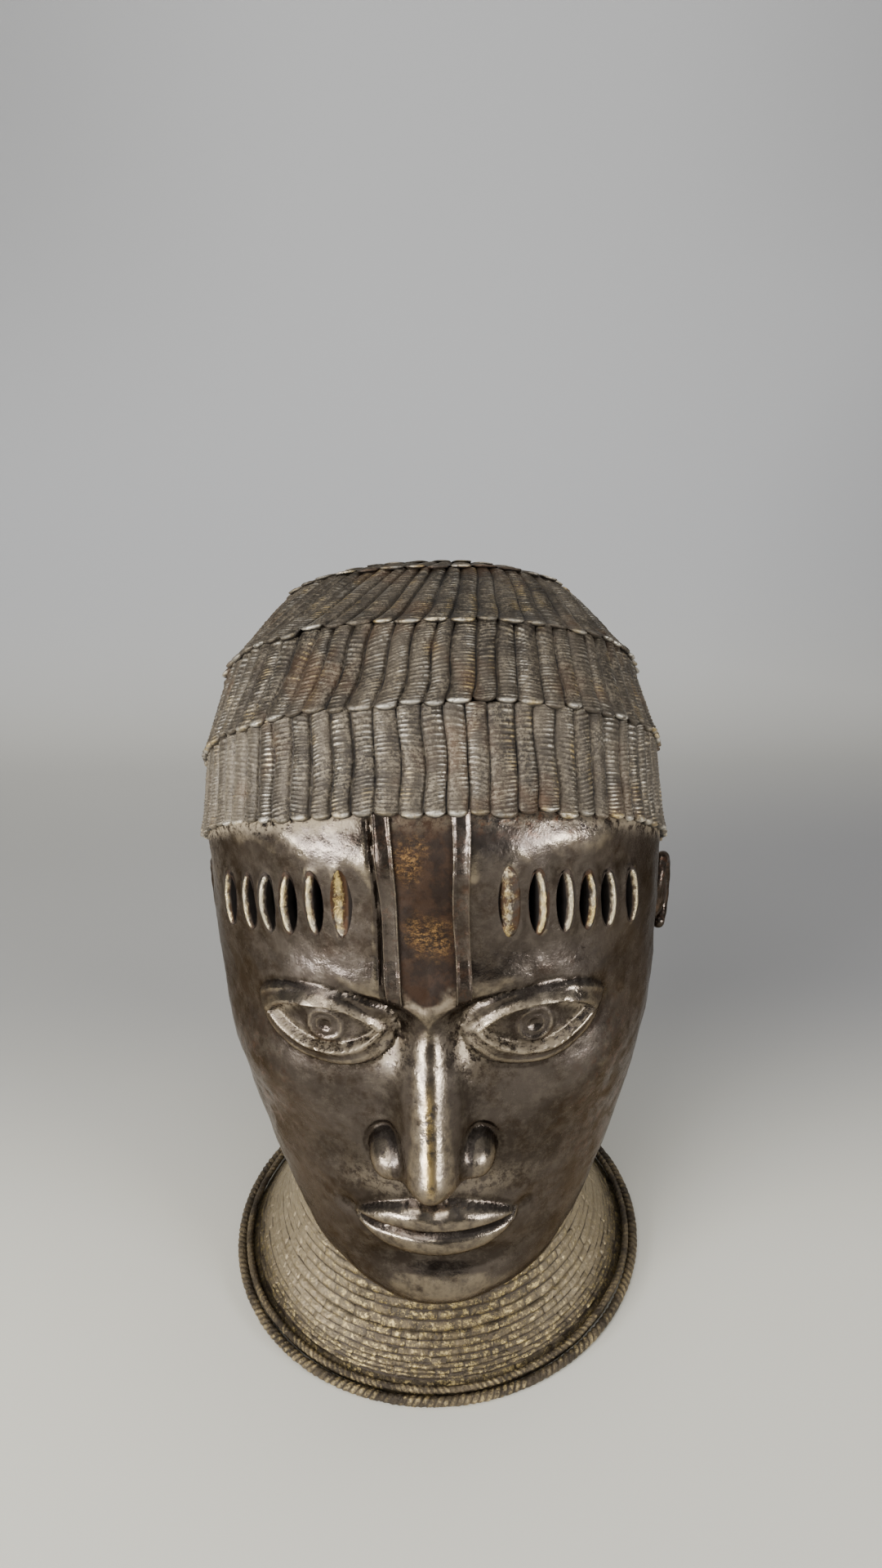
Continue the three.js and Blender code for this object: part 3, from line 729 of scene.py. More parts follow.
def hair_bronze():
    """Dark brown rolls, grainy with dust, with beads of bare metal on their ribs, dust and painted highlight
    on the ribs' crests, and grooves darkened to black as painted shade.
    """
    n = Shader("hair_bronze")
    crest, dry = n.attribute("crest"), n.attribute("dry")
    fine, grit = n.noise(2.2, 4, 0.7), n.noise(0.8, 3, 0.7)
    rib = n.ramp(n.attribute("rib"), 0.30, 0.90)
    dry_patches = n.times(dry, n.patches(1.6, 0.38, 0.56, 5, 0.85))
    grains = n.times(n.patches(1.15, 0.47, 0.57, 3, 0.75), n.patches(8, 0.40, 0.60, 4, 0.65))
    # Dust and painted highlight: the crests of the ribs are laid lighter beige
    ribs = n.times(n.ramp(crest, 0.40, 0.85), rib, n.patches(2.0, 0.44, 0.56, 5, 0.9))
    beads = n.times(n.attribute("edge"), rib, n.patches(1.9, 0.40, 0.50, 3, 0.7))
    beads = n.times(beads, n.patches(12, 0.34, 0.50, 3))
    bare = n.most(beads, n.times(n.attribute("end"), n.ramp(fine, 0.34, 0.50)))
    # Painted shade: the grooves between the rolls are darkened to black, in broken patches
    groove = n.ramp(n.math("ADD", crest, n.times(fine, 0.5)), 0.72, 0.30)
    groove = n.times(groove, n.scale(n.patches(7, 0.40, 0.58, 4, 0.7), 0.25, 1.0))
    colour = n.layers(
        n.mix(n.patches(18, 0.36, 0.64), HAIR_DARK, HAIR_LIGHT),
        (n.times(n.patches(26, 0.52, 0.66, 3), 0.6), HAIR_RED),
        (n.times(n.attribute("tone"), 0.45), HAIR_SHADE),
        (n.times(dry_patches, 0.8), HAIR_DRY),
        (n.times(grains, 0.38), HAIR_GRAIN),
        (n.times(ribs, 0.46), HAIR_RIB),
        (bare, n.mix(n.patches(13, 0.46, 0.62), HAIR_SILVER, HAIR_GOLD)),
        (groove, BLACK),
    )
    n.surface(
        colour,
        roughness=n.blend(bare, n.scale(fine, 0.38, 0.62), 0.26),
        metal=n.blend(bare, n.blend(dry, 0.60, 0.20), 0.95),
        normal=n.bump(grit, 0.22, n.bump(fine, 0.40)),
    )
    return n.material


def collar_bronze():
    """Brown and golden beads, each of its own tone, with thin gaps darkened as painted shade."""
    n = Shader("collar_bronze")
    crest = n.attribute("crest")
    fine, grit = n.noise(2.0, 4, 0.7), n.noise(0.8, 3, 0.7)
    worn = n.times(n.ramp(crest, 0.50, 1.0), n.ramp(fine, 0.44, 0.60))
    gold = n.times(n.patches(2.4, 0.51, 0.60, 5, 0.8), n.ramp(crest, 0.3, 0.9))
    colour = n.layers(
        n.mix(n.attribute("tone"), BEAD_DARK, BEAD_LIGHT),
        (n.times(n.patches(5, 0.44, 0.58, 6, 0.8), 0.8), BEAD_STAIN),
        (n.times(worn, 0.42), BEAD_WORN),
        (n.times(gold, 0.55), BEAD_GOLD),
        (n.times(n.attribute("dry"), 0.7), BEAD_DRY),
        # Painted shade: darker where the beads sink into their gaps, and inside the band
        (n.ramp(crest, 0.50, 0.05), BEAD_GAP),
    )
    n.surface(
        colour,
        roughness=n.blend(gold, n.scale(fine, 0.36, 0.60), 0.28),
        metal=n.blend(n.most(gold, worn), 0.55, 0.92),
        normal=n.bump(grit, 0.20, n.bump(fine, 0.55)),
    )
    return n.material


def rope_bronze():
    """Dark rope with golden patches where its strands are worn, kept mostly at the front as painted light so
    the sides stay darker as if shaded, and painted shade between the strands.
    """
    n = Shader("rope_bronze")
    crest = n.attribute("crest")
    fine, grit = n.noise(1.6, 4, 0.75), n.noise(0.8, 3, 0.7)
    worn = n.times(n.ramp(crest, 0.35, 1.0), n.ramp(fine, 0.42, 0.60))
    # Painted light: the front value keeps the worn gold mostly at the front and leaves the sides darker as
    # shade
    worn = n.times(worn, n.attribute("front"), n.patches(9, 0.38, 0.58, 4, 0.7))
    colour = n.layers(
        n.mix(n.patches(18, 0.40, 0.60), ROPE_DARK, ROPE_LIGHT),
        (n.times(worn, 0.8), ROPE_GOLD),
        # Painted shade between the strands
        (n.ramp(crest, 0.45, 0.02), ROPE_GAP),
    )
    n.surface(
        colour,
        roughness=n.scale(fine, 0.32, 0.60),
        metal=n.blend(worn, 0.55, 0.92),
        normal=n.bump(grit, 0.25, n.bump(fine, 0.7)),
    )
    return n.material


# The head's shell: the bare head with the face's relief outside and a plain wall inside

FACE_COLUMNS = 340
# Where the face's rows begin and end, as shares of the way down, and how many there are
FACE_ROWS = ((0, 0.13, 30), (0.13, 0.76, 148), (0.76, 1, 35))
CROWN_ROWS = 9
INNER_ROWS = 18
UNDER_HAIR = 3.0
CUT_DEPTHS = (-14, 0, 12)
CUT_POINTS = 32

# Angles of the columns round the head, closest together at the front
column = (np.arange(FACE_COLUMNS) - FACE_COLUMNS // 2) / (FACE_COLUMNS / 2)
COLUMN_ANGLES = math.pi * (0.34 * column + 0.66 * column**3)


def slerp(a, b, t):
    angle = np.arccos(np.clip(np.sum(a * b, -1), -1, 1))[..., None]
    return (np.sin((1 - t) * angle) * a + np.sin(t * angle) * b) / np.sin(angle)


def neck_reach(p):
    """1 where a drawn point is over the middle of the neck's wall, and less inside it."""
    x, y = (p[..., :2] + HEAD_PLACE[:2] - RIM_CENTRE).T / (NECK_HALF - WALL / 2)[:, None]
    return np.hypot(x, y).T


def head_rows(shares, inset):
    """Rows of points from the hairline down into the neck's wall."""
    starts = unit(ring_point(0.0, COLUMN_ANGLES) - FACE_MIDDLE)
    down = np.broadcast_to([0, 0, -1.0], starts.shape)

    def at(share):
        p = skin(FACE_MIDDLE, slerp(starts, down, share))
        return raised(p, -inset) if inset else p

    low, high = np.full((FACE_COLUMNS, 1), 0.4), np.full((FACE_COLUMNS, 1), 0.995)
    low, _ = narrowed(lambda mid: neck_reach(at(mid))[:, None] > 1, low, high, 22)
    return np.stack([at(low * share) for share in shares])


def crown_rows(levels, inset):
    p = ring_point(levels[:, None], COLUMN_ANGLES)
    return raised(p, -inset)


def blurred(h, radius):
    """The grid's mean over a square of cells."""
    padded = np.pad(np.pad(h, ((radius, radius), (0, 0)), "edge"), ((0, 0), (radius, radius)), "wrap")
    for axis in (0, 1):
        total = np.cumsum(np.insert(padded, 0, 0, axis=axis), axis=axis)
        ahead = np.take(total, range(2 * radius + 1, total.shape[axis]), axis=axis)
        behind = np.take(total, range(0, total.shape[axis] - 2 * radius - 1), axis=axis)
        padded = (ahead - behind) / (2 * radius + 1)
    return padded


def head_shell(material):
    """The skin with the face, closed under the hair, and the plain wall inside it."""
    shares = np.concatenate([np.linspace(*part, endpoint=False) for part in FACE_ROWS] + [[1.0]])
    bare = head_rows(shares, 0)
    height = relief(bare) * smooth_step(1.0, 0.97, shares)[:, None]
    over = crown_rows(np.linspace(0.97, 0.04, CROWN_ROWS), UNDER_HAIR)
    under = head_rows(np.linspace(1, 0, INNER_ROWS), WALL)
    inner = crown_rows(np.linspace(0.12, 0.97, CROWN_ROWS), WALL)
    grid = np.concatenate([over, raised(bare, height), under, inner]) + HEAD_PLACE
    standing_out = (height - blurred(height, 3)) / 0.35 + (height - blurred(height, 8)) / 1.6
    form = np.zeros(grid.shape[:2])
    form[CROWN_ROWS : CROWN_ROWS + len(bare)] = np.clip(standing_out, -1, 1)
    ends = CROWN - UNDER_HAIR * UP + HEAD_PLACE, CROWN - WALL * UP + HEAD_PLACE
    shell = capped_piece("face_skin", grid, material, {"form": form}, ends)
    pierce(shell)
    paint_face(shell)
    return shell


def pierce(shell):
    """Cuts the marks' outlines through the wall, for their lining to fill."""
    for _, number, centre, way, across in MARKS:
        outline = mark_outline(mark_half(number) - 0.05, CUT_POINTS)
        flat = centre + outline[:, :1] * across + outline[:, 1:] * [0, 0, 1]
        grid = np.stack([flat + way * depth for depth in CUT_DEPTHS]) + HEAD_PLACE
        cutter = capped_piece("cutter", grid, shell.data.materials[0])
        cut = shell.modifiers.new("cut", "BOOLEAN")
        cut.operation = "DIFFERENCE"
        cut.solver = "MANIFOLD"
        cut.object = cutter
        bpy.context.view_layer.update()
        graph = bpy.context.evaluated_depsgraph_get()
        made = bpy.data.meshes.new_from_object(shell.evaluated_get(graph))
        shell.modifiers.remove(cut)
        shell.data = made
        bpy.data.objects.remove(cutter)
    shell.data.shade_smooth()
    shell.data.set_sharp_from_angle(angle=math.radians(50))


def mark_points(mark, flat, depth):
    """Points across and along a mark, at depths from the face's surface."""
    side, _, centre, way, across = mark
    start = centre * [0, 0, 1] + side * flat[..., :1] * across + flat[..., 1:] * [0, 0, 1]
    bare = skin(start, way)
    return raised(bare, relief(bare)) + way * depth[..., None] + HEAD_PLACE


def mark_start(mark):
    """A mark's name, half width and length, outline and the slightly wider rim round it."""
    half = mark_half(mark[1])
    outline = mark_outline(half)
    return f"mark_{side_name(mark[0])}_{mark[1] + 1}", half, outline, outline * (1 + 0.3 / half[0])


def pierced_mark(mark, rng, material):
    """The lining of a pierced mark: a polished bevel on its outer side, then the hole, whose walls are
    painted black as shade.
    """
    name, half, outline, rim = mark_start(mark)
    opening = hole_half(mark[1])
    hole = mark_outline(opening * (1 + 0.05 * rng.normal(size=2)))
    hole[:, 0] -= half[0] - opening[0] - 0.15
    hole[:, 0] = np.clip(hole[:, 0], outline[:, 0].min() + 0.12, None)
    ragged = 0.12 * np.sin(np.arange(OUTLINE_POINTS) * 0.9 + rng.uniform(0, 6))
    ragged += 0.06 * rng.normal(size=OUTLINE_POINTS)
    hole[:, 0] += ragged * (hole[:, 0] > 0)
    facing = np.cos(around(OUTLINE_POINTS))
    outer = (0.5 + 0.5 * facing) ** 0.8
    shown = smooth_step(0.0, 0.6, facing)

    # Each row's points, depth, brightness and streak
    # Painted shade: the buried rows, the lip into the hole and the hole's walls get a bright value of 0 or
    # nearly and are black, and the bevel's narrow inner side is half darkened
    rows = [(rim, -LINING_DEPTH, 0, 0), (rim, -0.6, 0, 0), (outline, 0.1, 0.4, 0)]
    for s in (0.12, 0.28, 0.44, 0.60, 0.74, 0.86, 0.95, 1.0):
        crown = outer * math.sin(0.78 * math.pi * s) ** 1.5
        depth = crown - (0.2 + BEVEL_DEPTH * outer) * s**14
        bright = (0.45 + 0.55 * shown) * (1.0 if s < 0.9 else 0.8 if s < 0.97 else 0.1)
        rows.append((outline + (hole - outline) * s, depth, bright, 1.05 * shown * bell((s - 0.66) / 0.30)))
    rows += [(hole - [0.1, 0], -2.2, 0, 0), (hole - [0.2, 0], -LINING_DEPTH, 0, 0)]
    flats, *others = zip(*rows)
    depth, bright, streak = (np.stack([v + np.zeros(OUTLINE_POINTS) for v in each]) for each in others)
    grid = mark_points(mark, np.stack(flats), depth)
    values = {"bright": bright, "streak": streak, "warm": np.full(depth.shape, rng.uniform(0.1, 0.9))}
    return ring_piece(name, grid, material, values)


def blind_mark(mark, material):
    """The mark by the nose isn't pierced: a groove on the right, a raised leaf on the left. Painted shade
    darkens the groove's side towards the nose, and the narrow groove along the leaf's inner side, to black.
    """
    name, half, outline, rim = mark_start(mark)
    left = mark[0] > 0
    level = np.zeros(OUTLINE_POINTS)
    rows, depths = [rim * 0.3, rim, rim], [level - LINING_DEPTH, level - LINING_DEPTH, level - 0.6]
    for s in (1.0, 0.92, 0.84, 0.72, 0.6, 0.46, 0.32, 0.18, 0.06):
        flat = outline * s
        o = flat[:, 0] / half[0]
        taper = dome((flat[:, 1] / half[1]) ** 2)
        if left:
            h = 1.3 * taper * dome(((o - 0.2) / 0.8) ** 2) - 1.3 * bell((o + 0.8) / 0.22) * (s < 0.99)
        else:
            fall = np.where(o > -0.35, (o + 0.35) / 1.35, -(o + 0.35) / 0.65)
            h = 0.5 * taper * bell((o - 0.75) / 0.35) - 2.0 * taper * (1 - np.clip(fall, 0, 1) ** 1.6)
        rows.append(flat)
        depths.append(h + 0.1)
    o = np.stack(rows)[..., 0] / half[0]
    # Painted shade: the dark ends of these bright values blacken the groove's side towards the nose, the
    # leaf's inner groove and the buried rows
    bright = 0.9 * smooth_step(-0.9, -0.5, o) if left else 0.12 + 0.88 * smooth_step(-0.55, -0.05, o)
    bright[:3] = 0
    streak = 0.28 + 0.38 * bell((o + 0.2) / 0.35) if left else 0.80 * bell((o - 0.35) / 0.45)
    values = {"bright": bright, "streak": streak, "warm": np.full(o.shape, 0.9 if left else 1.0)}
    return capped_piece(name, mark_points(mark, np.stack(rows), np.stack(depths)), material, values)


def paint_face(shell):
    """Where the face has rust, specks, gold and dust, by place, and where shade is painted under the hair's
    edge.
    """
    flat = np.zeros(len(shell.data.vertices) * 3, np.float32)
    shell.data.vertices.foreach_get("co", flat)
    p = flat.reshape(-1, 3) / MM - HEAD_PLACE
    x, ax, z = p[:, 0], np.abs(p[:, 0]), p[:, 2]
    front = p[:, 1] < -20
    hairline = HAIRLINE_RISE + HAIRLINE_LIFT * np.clip(x / CAP_HALF_WIDTH, -1, 1) ** 2
    below = hairline - (p - CAP_MIDDLE) @ UP
    eye_edge = almond(ax - EYE_X, z - EYE_Z, EYE_HALF, EYE_UPPER, EYE_LOWER)
    thick = 0.2 + 0.8 * smooth_step(-14, -34, x) + 0.5 * smooth_step(38, 60, x)
    dust = (
        thick * bell(np.clip(below - 1.5, 0, None) / 2.6),
        0.4 * bell2((x + 77) / 9, (z - 156) / 18) * (ax > 60),
        0.6 * bell((eye_edge - 0.2) / 1.8) * front,
        0.45 * bell2((ax - 13) / 7, (z - 117) / 9) * front,
        0.35 * bell2((ax - 16) / 12, (z - 63) / 5) * front,
    )
    t = strip_share(z)
    right, left = strip_middle(-1, t), strip_middle(1, t)
    between = smooth_step(right, right + 3, x) * smooth_step(left, left - 3, x)
    between *= smooth_step(128, 136, z) * front
    # Painted shade: a dark band under the hair's edge on the face's left, laid with the rust
    under_hair = bell(np.clip(below - 2, 0, None) / 4) * smooth_step(12, 18, x) * smooth_step(66, 40, x)
    rust_and_shade = (between, 0.9 * bell2((ax - 62) / 14, (z - 72) / 34) * front, 0.9 * under_hair * front)
    specks = 0.34 + 0.7 * bell2((x + 4) / 6, (z - 179) / 7) + 0.7 * bell2((x - 1) / 8, (z - 154) / 7)
    gold = 0.9 * bell(x / 1.2) * smooth_step(76, 84, z) * smooth_step(112, 100, z) * front
    values = {"gold": gold, "dust": np.max(dust, 0), "speckle": between * specks, "rust_and_shade": np.max(rust_and_shade, 0)}
    set_values(shell.data, {key: np.clip(value, 0, 1) for key, value in values.items()})


def plain_values(shape, form, rust_and_shade):
    """What the face's material reads, for a piece without gold, dust and specks. A form below 0 and the rust
    value darken the piece, partly as painted shade.
    """
    none = dict.fromkeys(("gold", "dust", "speckle"), np.zeros(shape))
    return {"form": np.broadcast_to(form, shape), **none, "rust_and_shade": np.full(shape, rust_and_shade)}


# The two raised strips on the forehead: shares of the width from the middle out, and the rise there

STRIP_ROWS = 90
STRIP_ACROSS = np.array([0.2, 0.34, 0.41, 0.47, 0.5, 0.5])
STRIP_RISE = np.array([0.45, 0.6, 1.1, 1.0, 0.2, -2.0])


def strip(side, material):
    """A flat band with thin raised edges, laid on the forehead."""
    across = np.concatenate([-STRIP_ACROSS[::-1], STRIP_ACROSS])
    rise = np.concatenate([STRIP_RISE[::-1], STRIP_RISE])
    t = np.linspace(0, 1, STRIP_ROWS)[:, None]
    z = STRIP_FOOT + (STRIP_TOP - STRIP_FOOT) * t
    width = STRIP_WIDTH * (0.86 + 0.14 * t + 0.03 * np.sin(13 * t + side))
    x = strip_middle(side, t) + width * across
    bare = skin(points_at(x, 0.0, z), np.array([0, -1.0, 0]))
    rise_here = np.where(rise > 0, rise * smooth_step(0, 0.03, t), rise)
    grid = raised(bare, relief(bare) + rise_here + 0.06 * lumps(bare, 3, 7 + side)) + HEAD_PLACE
    edges = np.where(across * side < 0, 0.74, 0.64)
    # The edges' form makes them worn; the band's face, with a form below 0, is a little darkened as painted
    # shade
    form = np.where(rise > 0.9, edges, np.where(rise > 0.3, -0.35, 0.0))
    return capped_piece("forehead_strip_" + side_name(side), grid, material, plain_values(x.shape, form, 0.3))


# The hair: tiers of ribbed rolls round the tilted axis, each with its levels, rolls and twist

TIERS = (
    ("hair_tier_1", 0.0, FIRST_TIER, 84, 0.0),
    ("hair_tier_2", FIRST_TIER, 0.584, 77, 0.05),
    ("hair_tier_3", 0.584, 0.865, 62, 0.14),
    ("hair_tier_4", 0.865, 0.94, 40, 0.09),
    ("hair_tier_5", 0.94, 0.979, 28, 0.05),
    ("hair_crown", 0.979, 0.9992, 17, 0.05),
)
RIB_PITCH = 1.25
RIB_HEIGHT = 0.7
ROLL_POINTS = np.array([0, 0.06, 0.17, 0.33, 0.5, 0.67, 0.83, 0.94])
GROOVE_DEPTH = 2.3
GROOVE_LIMIT = -2.9
INNER_DEPTH = 3.5
RING_STEPS = 1441


def steps(points):
    """Distances from each point to the next."""
    return np.linalg.norm(np.diff(points, axis=0), axis=1)


def even_angles(level, count, rng):
    """Angles that cut a level's ring into rolls of nearly equal width, and the ring's length."""
    turn = np.linspace(0, FULL_TURN, RING_STEPS)
    along = np.concatenate([[0], np.cumsum(steps(ring_point(level, turn)))])
    share = (np.arange(count) + 0.12 * rng.uniform(-1, 1, count)) / count
    return np.interp(share * along[-1], along, turn), along[-1]


def hair_tier(name, level, top, rolls, twist, material, seed):
    """A tier of rolls from one level up to another, each with its own sway, ribs and wear."""
    rng = np.random.default_rng(seed)
    cuts, length = even_angles(level, rolls, rng)
    cuts = np.append(cuts, cuts[0] + FULL_TURN)
    reach = steps(ring_point(np.linspace(level, top, 9), np.zeros(9))).sum()
    ribs = max(3, round(reach / RIB_PITCH))
    rows = 3 * ribs + 1
    t = np.linspace(0, 1, rows)[:, None]

    own = rng.uniform(0, FULL_TURN, rolls + 1)
    pace = rng.uniform(0.6, 1.4, rolls + 1)
    sway = 0.04 * np.sin(FULL_TURN * pace * t + own) + 0.07 * np.sin(1.7 * math.pi * t + 3 * cuts + seed)
    sway *= length / rolls * np.minimum(1, 4 * t)
    sway[:, -1] = sway[:, 0]
    turn = cuts + twist * t + sway * (FULL_TURN / length)
    angle = (turn[:, :-1, None] + ROLL_POINTS * np.diff(turn)[..., None]).reshape(rows, -1)

    u = np.tile(ROLL_POINTS, rolls)
    roll = np.repeat(np.arange(rolls), len(ROLL_POINTS))
    crest = np.sqrt(1 - (2 * u - 1) ** 2)
    swell = 0.25 * rng.normal(size=rolls)[roll]
    flare = 0.35 * (1 - t) + 0.65 * np.exp(-t * reach / 5)
    thick = HAIR_ROOT + (HAIR_LIP - HAIR_ROOT) * flare
    phase = rng.uniform(0, 1, rolls)[roll]
    slant = (0.9 * rng.normal(size=rolls)[roll] + 0.5 * np.sin(5 * t + own[roll])) * (u - 0.5)
    beats = t * ribs * (1 + 0.06 * np.sin(7 * t + own[roll])) + phase + slant
    beat = beats % 1
    strength = rng.uniform(0.6, 1, (ribs + 8, rolls))
    rib = np.where(beat < 0.4, beat / 0.4, (1 - beat) / 0.6)
    rib *= strength[np.clip(np.floor(beats).astype(int) + 3, 0, ribs + 7), roll]
    foot_ring, middle_ring, top_ring = (ring_point(at, angle[0]) for at in (level, (level + top) / 2, top))
    bulge = middle_ring - (foot_ring + top_ring) / 2
    sag = np.clip(np.einsum("ij,ij->i", bulge, ring_way(angle[0])), 0, 2.6)
    height = thick + swell * (1 - t) - 3.4 * sag * t * (1 - t) - (GROOVE_DEPTH - 0.6 * t) * (1 - crest)
    height = height + RIB_HEIGHT * (rib - 0.4) * crest
    lift = (1.1 + 0.5 * rng.normal(size=rolls)[roll] - 0.9 * crest) / HAIR_SPAN
    tall = level + (top - level) * 1.015 * t + lift * (1 - t) ** 8

    def lay(levels, angles, heights):
        heights = np.clip(heights, GROOVE_LIMIT, HAIR_LIP - 0.03)
        return ring_point(levels, angles) + ring_way(angles) * heights[..., None]

    body = lay(tall, angle, height)
    foot = [
        lay(tall[0] - drop * crest / HAIR_SPAN, angle[0], lower)
        for drop, lower in ((0.9, height[0] * 0.5 - 0.4), (0.5, height[0] - 0.3))
    ]
    inner = [
        ring_point(np.clip(tall[k], 0, 1), angle[k]) - ring_way(angle[k]) * INNER_DEPTH
        for k in (-1, rows // 2, 0)
    ]
    grid = np.concatenate([foot, body, inner]) + HEAD_PLACE

    worn = np.clip(rng.uniform(-0.3, 1, rolls), 0, 1)[roll]
    end = 0.9 * bell(t * reach / 0.55) * smooth_step(0.5, 0.9, crest) * worn
    tone = rng.uniform(0, 1, rolls)[roll]
    bead_side = np.where(rng.uniform(size=rolls) < 0.5, 0.24, 0.76)[roll]
    edge = bell((u - bead_side) / 0.17) * (0.4 + 0.6 * worn)
    dry = smooth_step(-40, -72, body[..., 0]) + 0.45 * smooth_step(42, 72, body[..., 0])
    dry = dry * smooth_step(0, 1, rng.uniform(0.3, 1, rolls)[roll]) * (0.25 if level else 1.0)

    # Each value up the rolls, and its share in the foot's two rows
    shown = {"crest": (crest, 0.1, 0.7), "rib": (rib, 0, 0), "end": (end, 0, 0.8), "edge": (edge, 0, 1)}
    shown["dry"] = (dry, 1, 1)
    values = {"tone": np.broadcast_to(tone, grid.shape[:2])}
    hidden = np.zeros((len(inner), len(crest)))
    for key, (value, low, high) in shown.items():
        value = np.broadcast_to(value, body.shape[:2])
        values[key] = np.concatenate([low * value[:1], high * value[:1], value, hidden])
    return ring_piece(name, grid, material, values)


def crown_knob(material):
    """The small boss where the rolls meet."""
    turn = around(24)
    rise = np.linspace(-0.5, math.pi / 2 - 0.2, 8)[:, None, None]
    centre = CROWN + 0.2 * UP + HEAD_PLACE
    grid = centre + 4.2 * np.cos(rise) * ring_way(turn) + 2.4 * np.sin(rise) * UP
    plain = {"crest": 1, "rib": 0.4, "end": 0, "edge": 0, "dry": 0, "tone": 0.5}
    values = {key: np.full(grid.shape[:2], value) for key, value in plain.items()}
    return capped_piece("hair_knob", grid, material, values, (centre - 1.5 * UP, centre + 2.4 * UP))


# The collar: rows of beads on the flare and up the neck, and a rope round the rim

BEAD_PITCH = 3.4
BEAD_ACROSS = np.array([0, 0.12, 0.36, 0.64, 0.88])
BEAD_ALONG = np.array([0, 0.1, 0.3, 0.55, 0.8, 0.93])
BEAD_HEIGHT = 1.1
FLARE_POWER = 2.2
FLARE_STEPS = [0, 1.15, 1.3, 1.5, 1.8, 2.1, 2.4, 2.7]
NECK_TOP = 104

# Each rope's name, radius, inset from the rim, height, pitch and hand
ROPES = (("rope_outer", 2.05, 2.05, 2.15, 2.7, 1), ("rope_inner", 1.45, 5.3, 4.3, 2.3, -1))


def flare_half(h):
    """Half width and half depth of the collar at a height."""
    t = (1 - np.clip(h / FLARE_HEIGHT, 0, 1)) ** FLARE_POWER
    rim = RIM_HALF - ROPE_THICKNESS
    return NECK_HALF + (rim - NECK_HALF) * np.asarray(t)[..., None]


def oval(half, angle, h):
    """Points round the rim's centre, in the part's millimetres."""
    x = RIM_CENTRE[0] + half[..., 0] * np.sin(angle)
    y = RIM_CENTRE[1] - half[..., 1] * np.cos(angle)
    return points_at(x, y, h)


def bead_rows(name, heights, beads, fit_from, material, seed):
    """A closed band with rows of beads outside. From fit_from on, it is stretched to meet the head."""
    rng = np.random.default_rng(seed)
    along = np.tile(BEAD_ALONG, beads)
    plain = np.arange(len(along)) / len(along) * FULL_TURN
    bead = np.repeat(np.arange(beads), len(BEAD_ALONG))
    bar = np.clip(1 - np.abs(2 * along - 1) ** 5, 0, 1) ** 0.5
    rows, crests, tones = [], [], []
    for low, high in zip(heights[:-1], heights[1:]):
        cuts = (np.arange(beads) + rng.uniform(-0.5, 0.5) + 0.24 * rng.uniform(-1, 1, beads)) / beads
        cuts = np.append(cuts, cuts[0] + 1)
        turn = FULL_TURN * (cuts[bead] + along * (cuts[bead + 1] - cuts[bead]))
        proud = 0.55 + 0.2 * rng.normal(size=beads)[bead]
        gap = (rng.uniform(0.1, 1, beads) ** 2)[bead]
        shift = 0.18 * rng.normal(size=beads)[bead]
        tone = rng.uniform(0, 1, beads)[bead]
        for v in BEAD_ACROSS:
            h = low + (high - low) * np.clip(v + (shift / (high - low) if 0 < v else 0), 0, 1)
            crest = dome((2 * v - 1) ** 2) ** 0.8 * (1 - gap * (1 - bar))
            half = flare_half(h) + (BEAD_HEIGHT * crest * np.clip(proud, 0.2, 1) - 0.35)[:, None]
            rows.append(oval(half, plain if v == 0 else turn, h))
            crests.append(crest)
            tones.append(tone)
    foot, top = heights[0], heights[-1]
    levels = top, (foot + top) / 2, foot + 0.15 * (top - foot), foot
    inner = [oval(flare_half(h) - WALL, plain, h) for h in levels]
    grid = np.concatenate([rows, inner])
    if fit_from is not None:
        fit_to_head(grid, top, fit_from)
    hidden = np.full((len(inner), len(along)), 0.2)
    values = {"crest": np.concatenate([crests, hidden]), "tone": np.concatenate([tones, hidden])}
    values["dry"] = smooth_step(24, 62, np.abs(grid[..., 0])) * smooth_step(ROPE_THICKNESS, 14, grid[..., 2])
    return ring_piece(name, grid, material, values)


def fit_to_head(grid, top, start):
    """Stretches rows above the start height so that the last ones end inside the head's wall."""
    p = grid - HEAD_PLACE
    low, high = np.full(p.shape[:-1], -6.0), np.full(p.shape[:-1], 66.0)
    _, high = narrowed(lambda mid: outside(points_at(p[..., 0], p[..., 1], mid)) >= 0, low, high, 24)
    surface = high + 2.0 + CHIN_LIFT
    share = np.clip((grid[..., 2] - start) / (top - start), 0, 1)
    grid[..., 2] = np.minimum(grid[..., 2], start) + share * (surface - start)


def ropes(material):
    """A twisted rope of two strands with a thinner one inside it, lying on the rim."""
    rng = np.random.default_rng(61)
    phi = around(14)[:, None]
    for name, radius, inset, height, pitch, hand in ROPES:
        centre = RIM_HALF - inset - 0.1
        turns = round(FULL_TURN * centre.mean() / pitch / 2)
        angle = around(10 * turns)
        lobe = np.abs(np.cos(phi - hand * turns * angle))
        wobble = 0.14 * np.sin(5 * angle + 1) + 0.1 * np.sin(11 * angle)
        rough = rng.normal(size=len(angle))
        size = radius * (0.82 + 0.18 * lobe**0.8) * (1 - 0.05 * np.abs(rough + np.roll(rough, 1)))
        out = size * np.cos(phi) + wobble * (inset > radius)
        z = np.maximum(height + size * np.sin(phi), 0)
        # Painted light: high at the front of the rim and low at its sides, where the rope is left darker as
        # shade
        front = np.broadcast_to(0.25 + 0.75 * smooth_step(0.2, 0.7, np.cos(angle)), lobe.shape)
        grid = oval(centre + (out[..., None] - 0.02), angle, z)
        yield ring_piece(name, grid, material, {"crest": lobe, "front": front})


# The ears: an outer fold swept round a shallow bowl

EAR_CENTRE = np.array([CAP_HALF_WIDTH - 2.4, 25.0, 112.0])
EAR_LEAN = 0.33
EAR_BREADTH = 0.6
EAR_TURNS = (200, 160, 125, 90, 55, 20, -20, -60, -95)


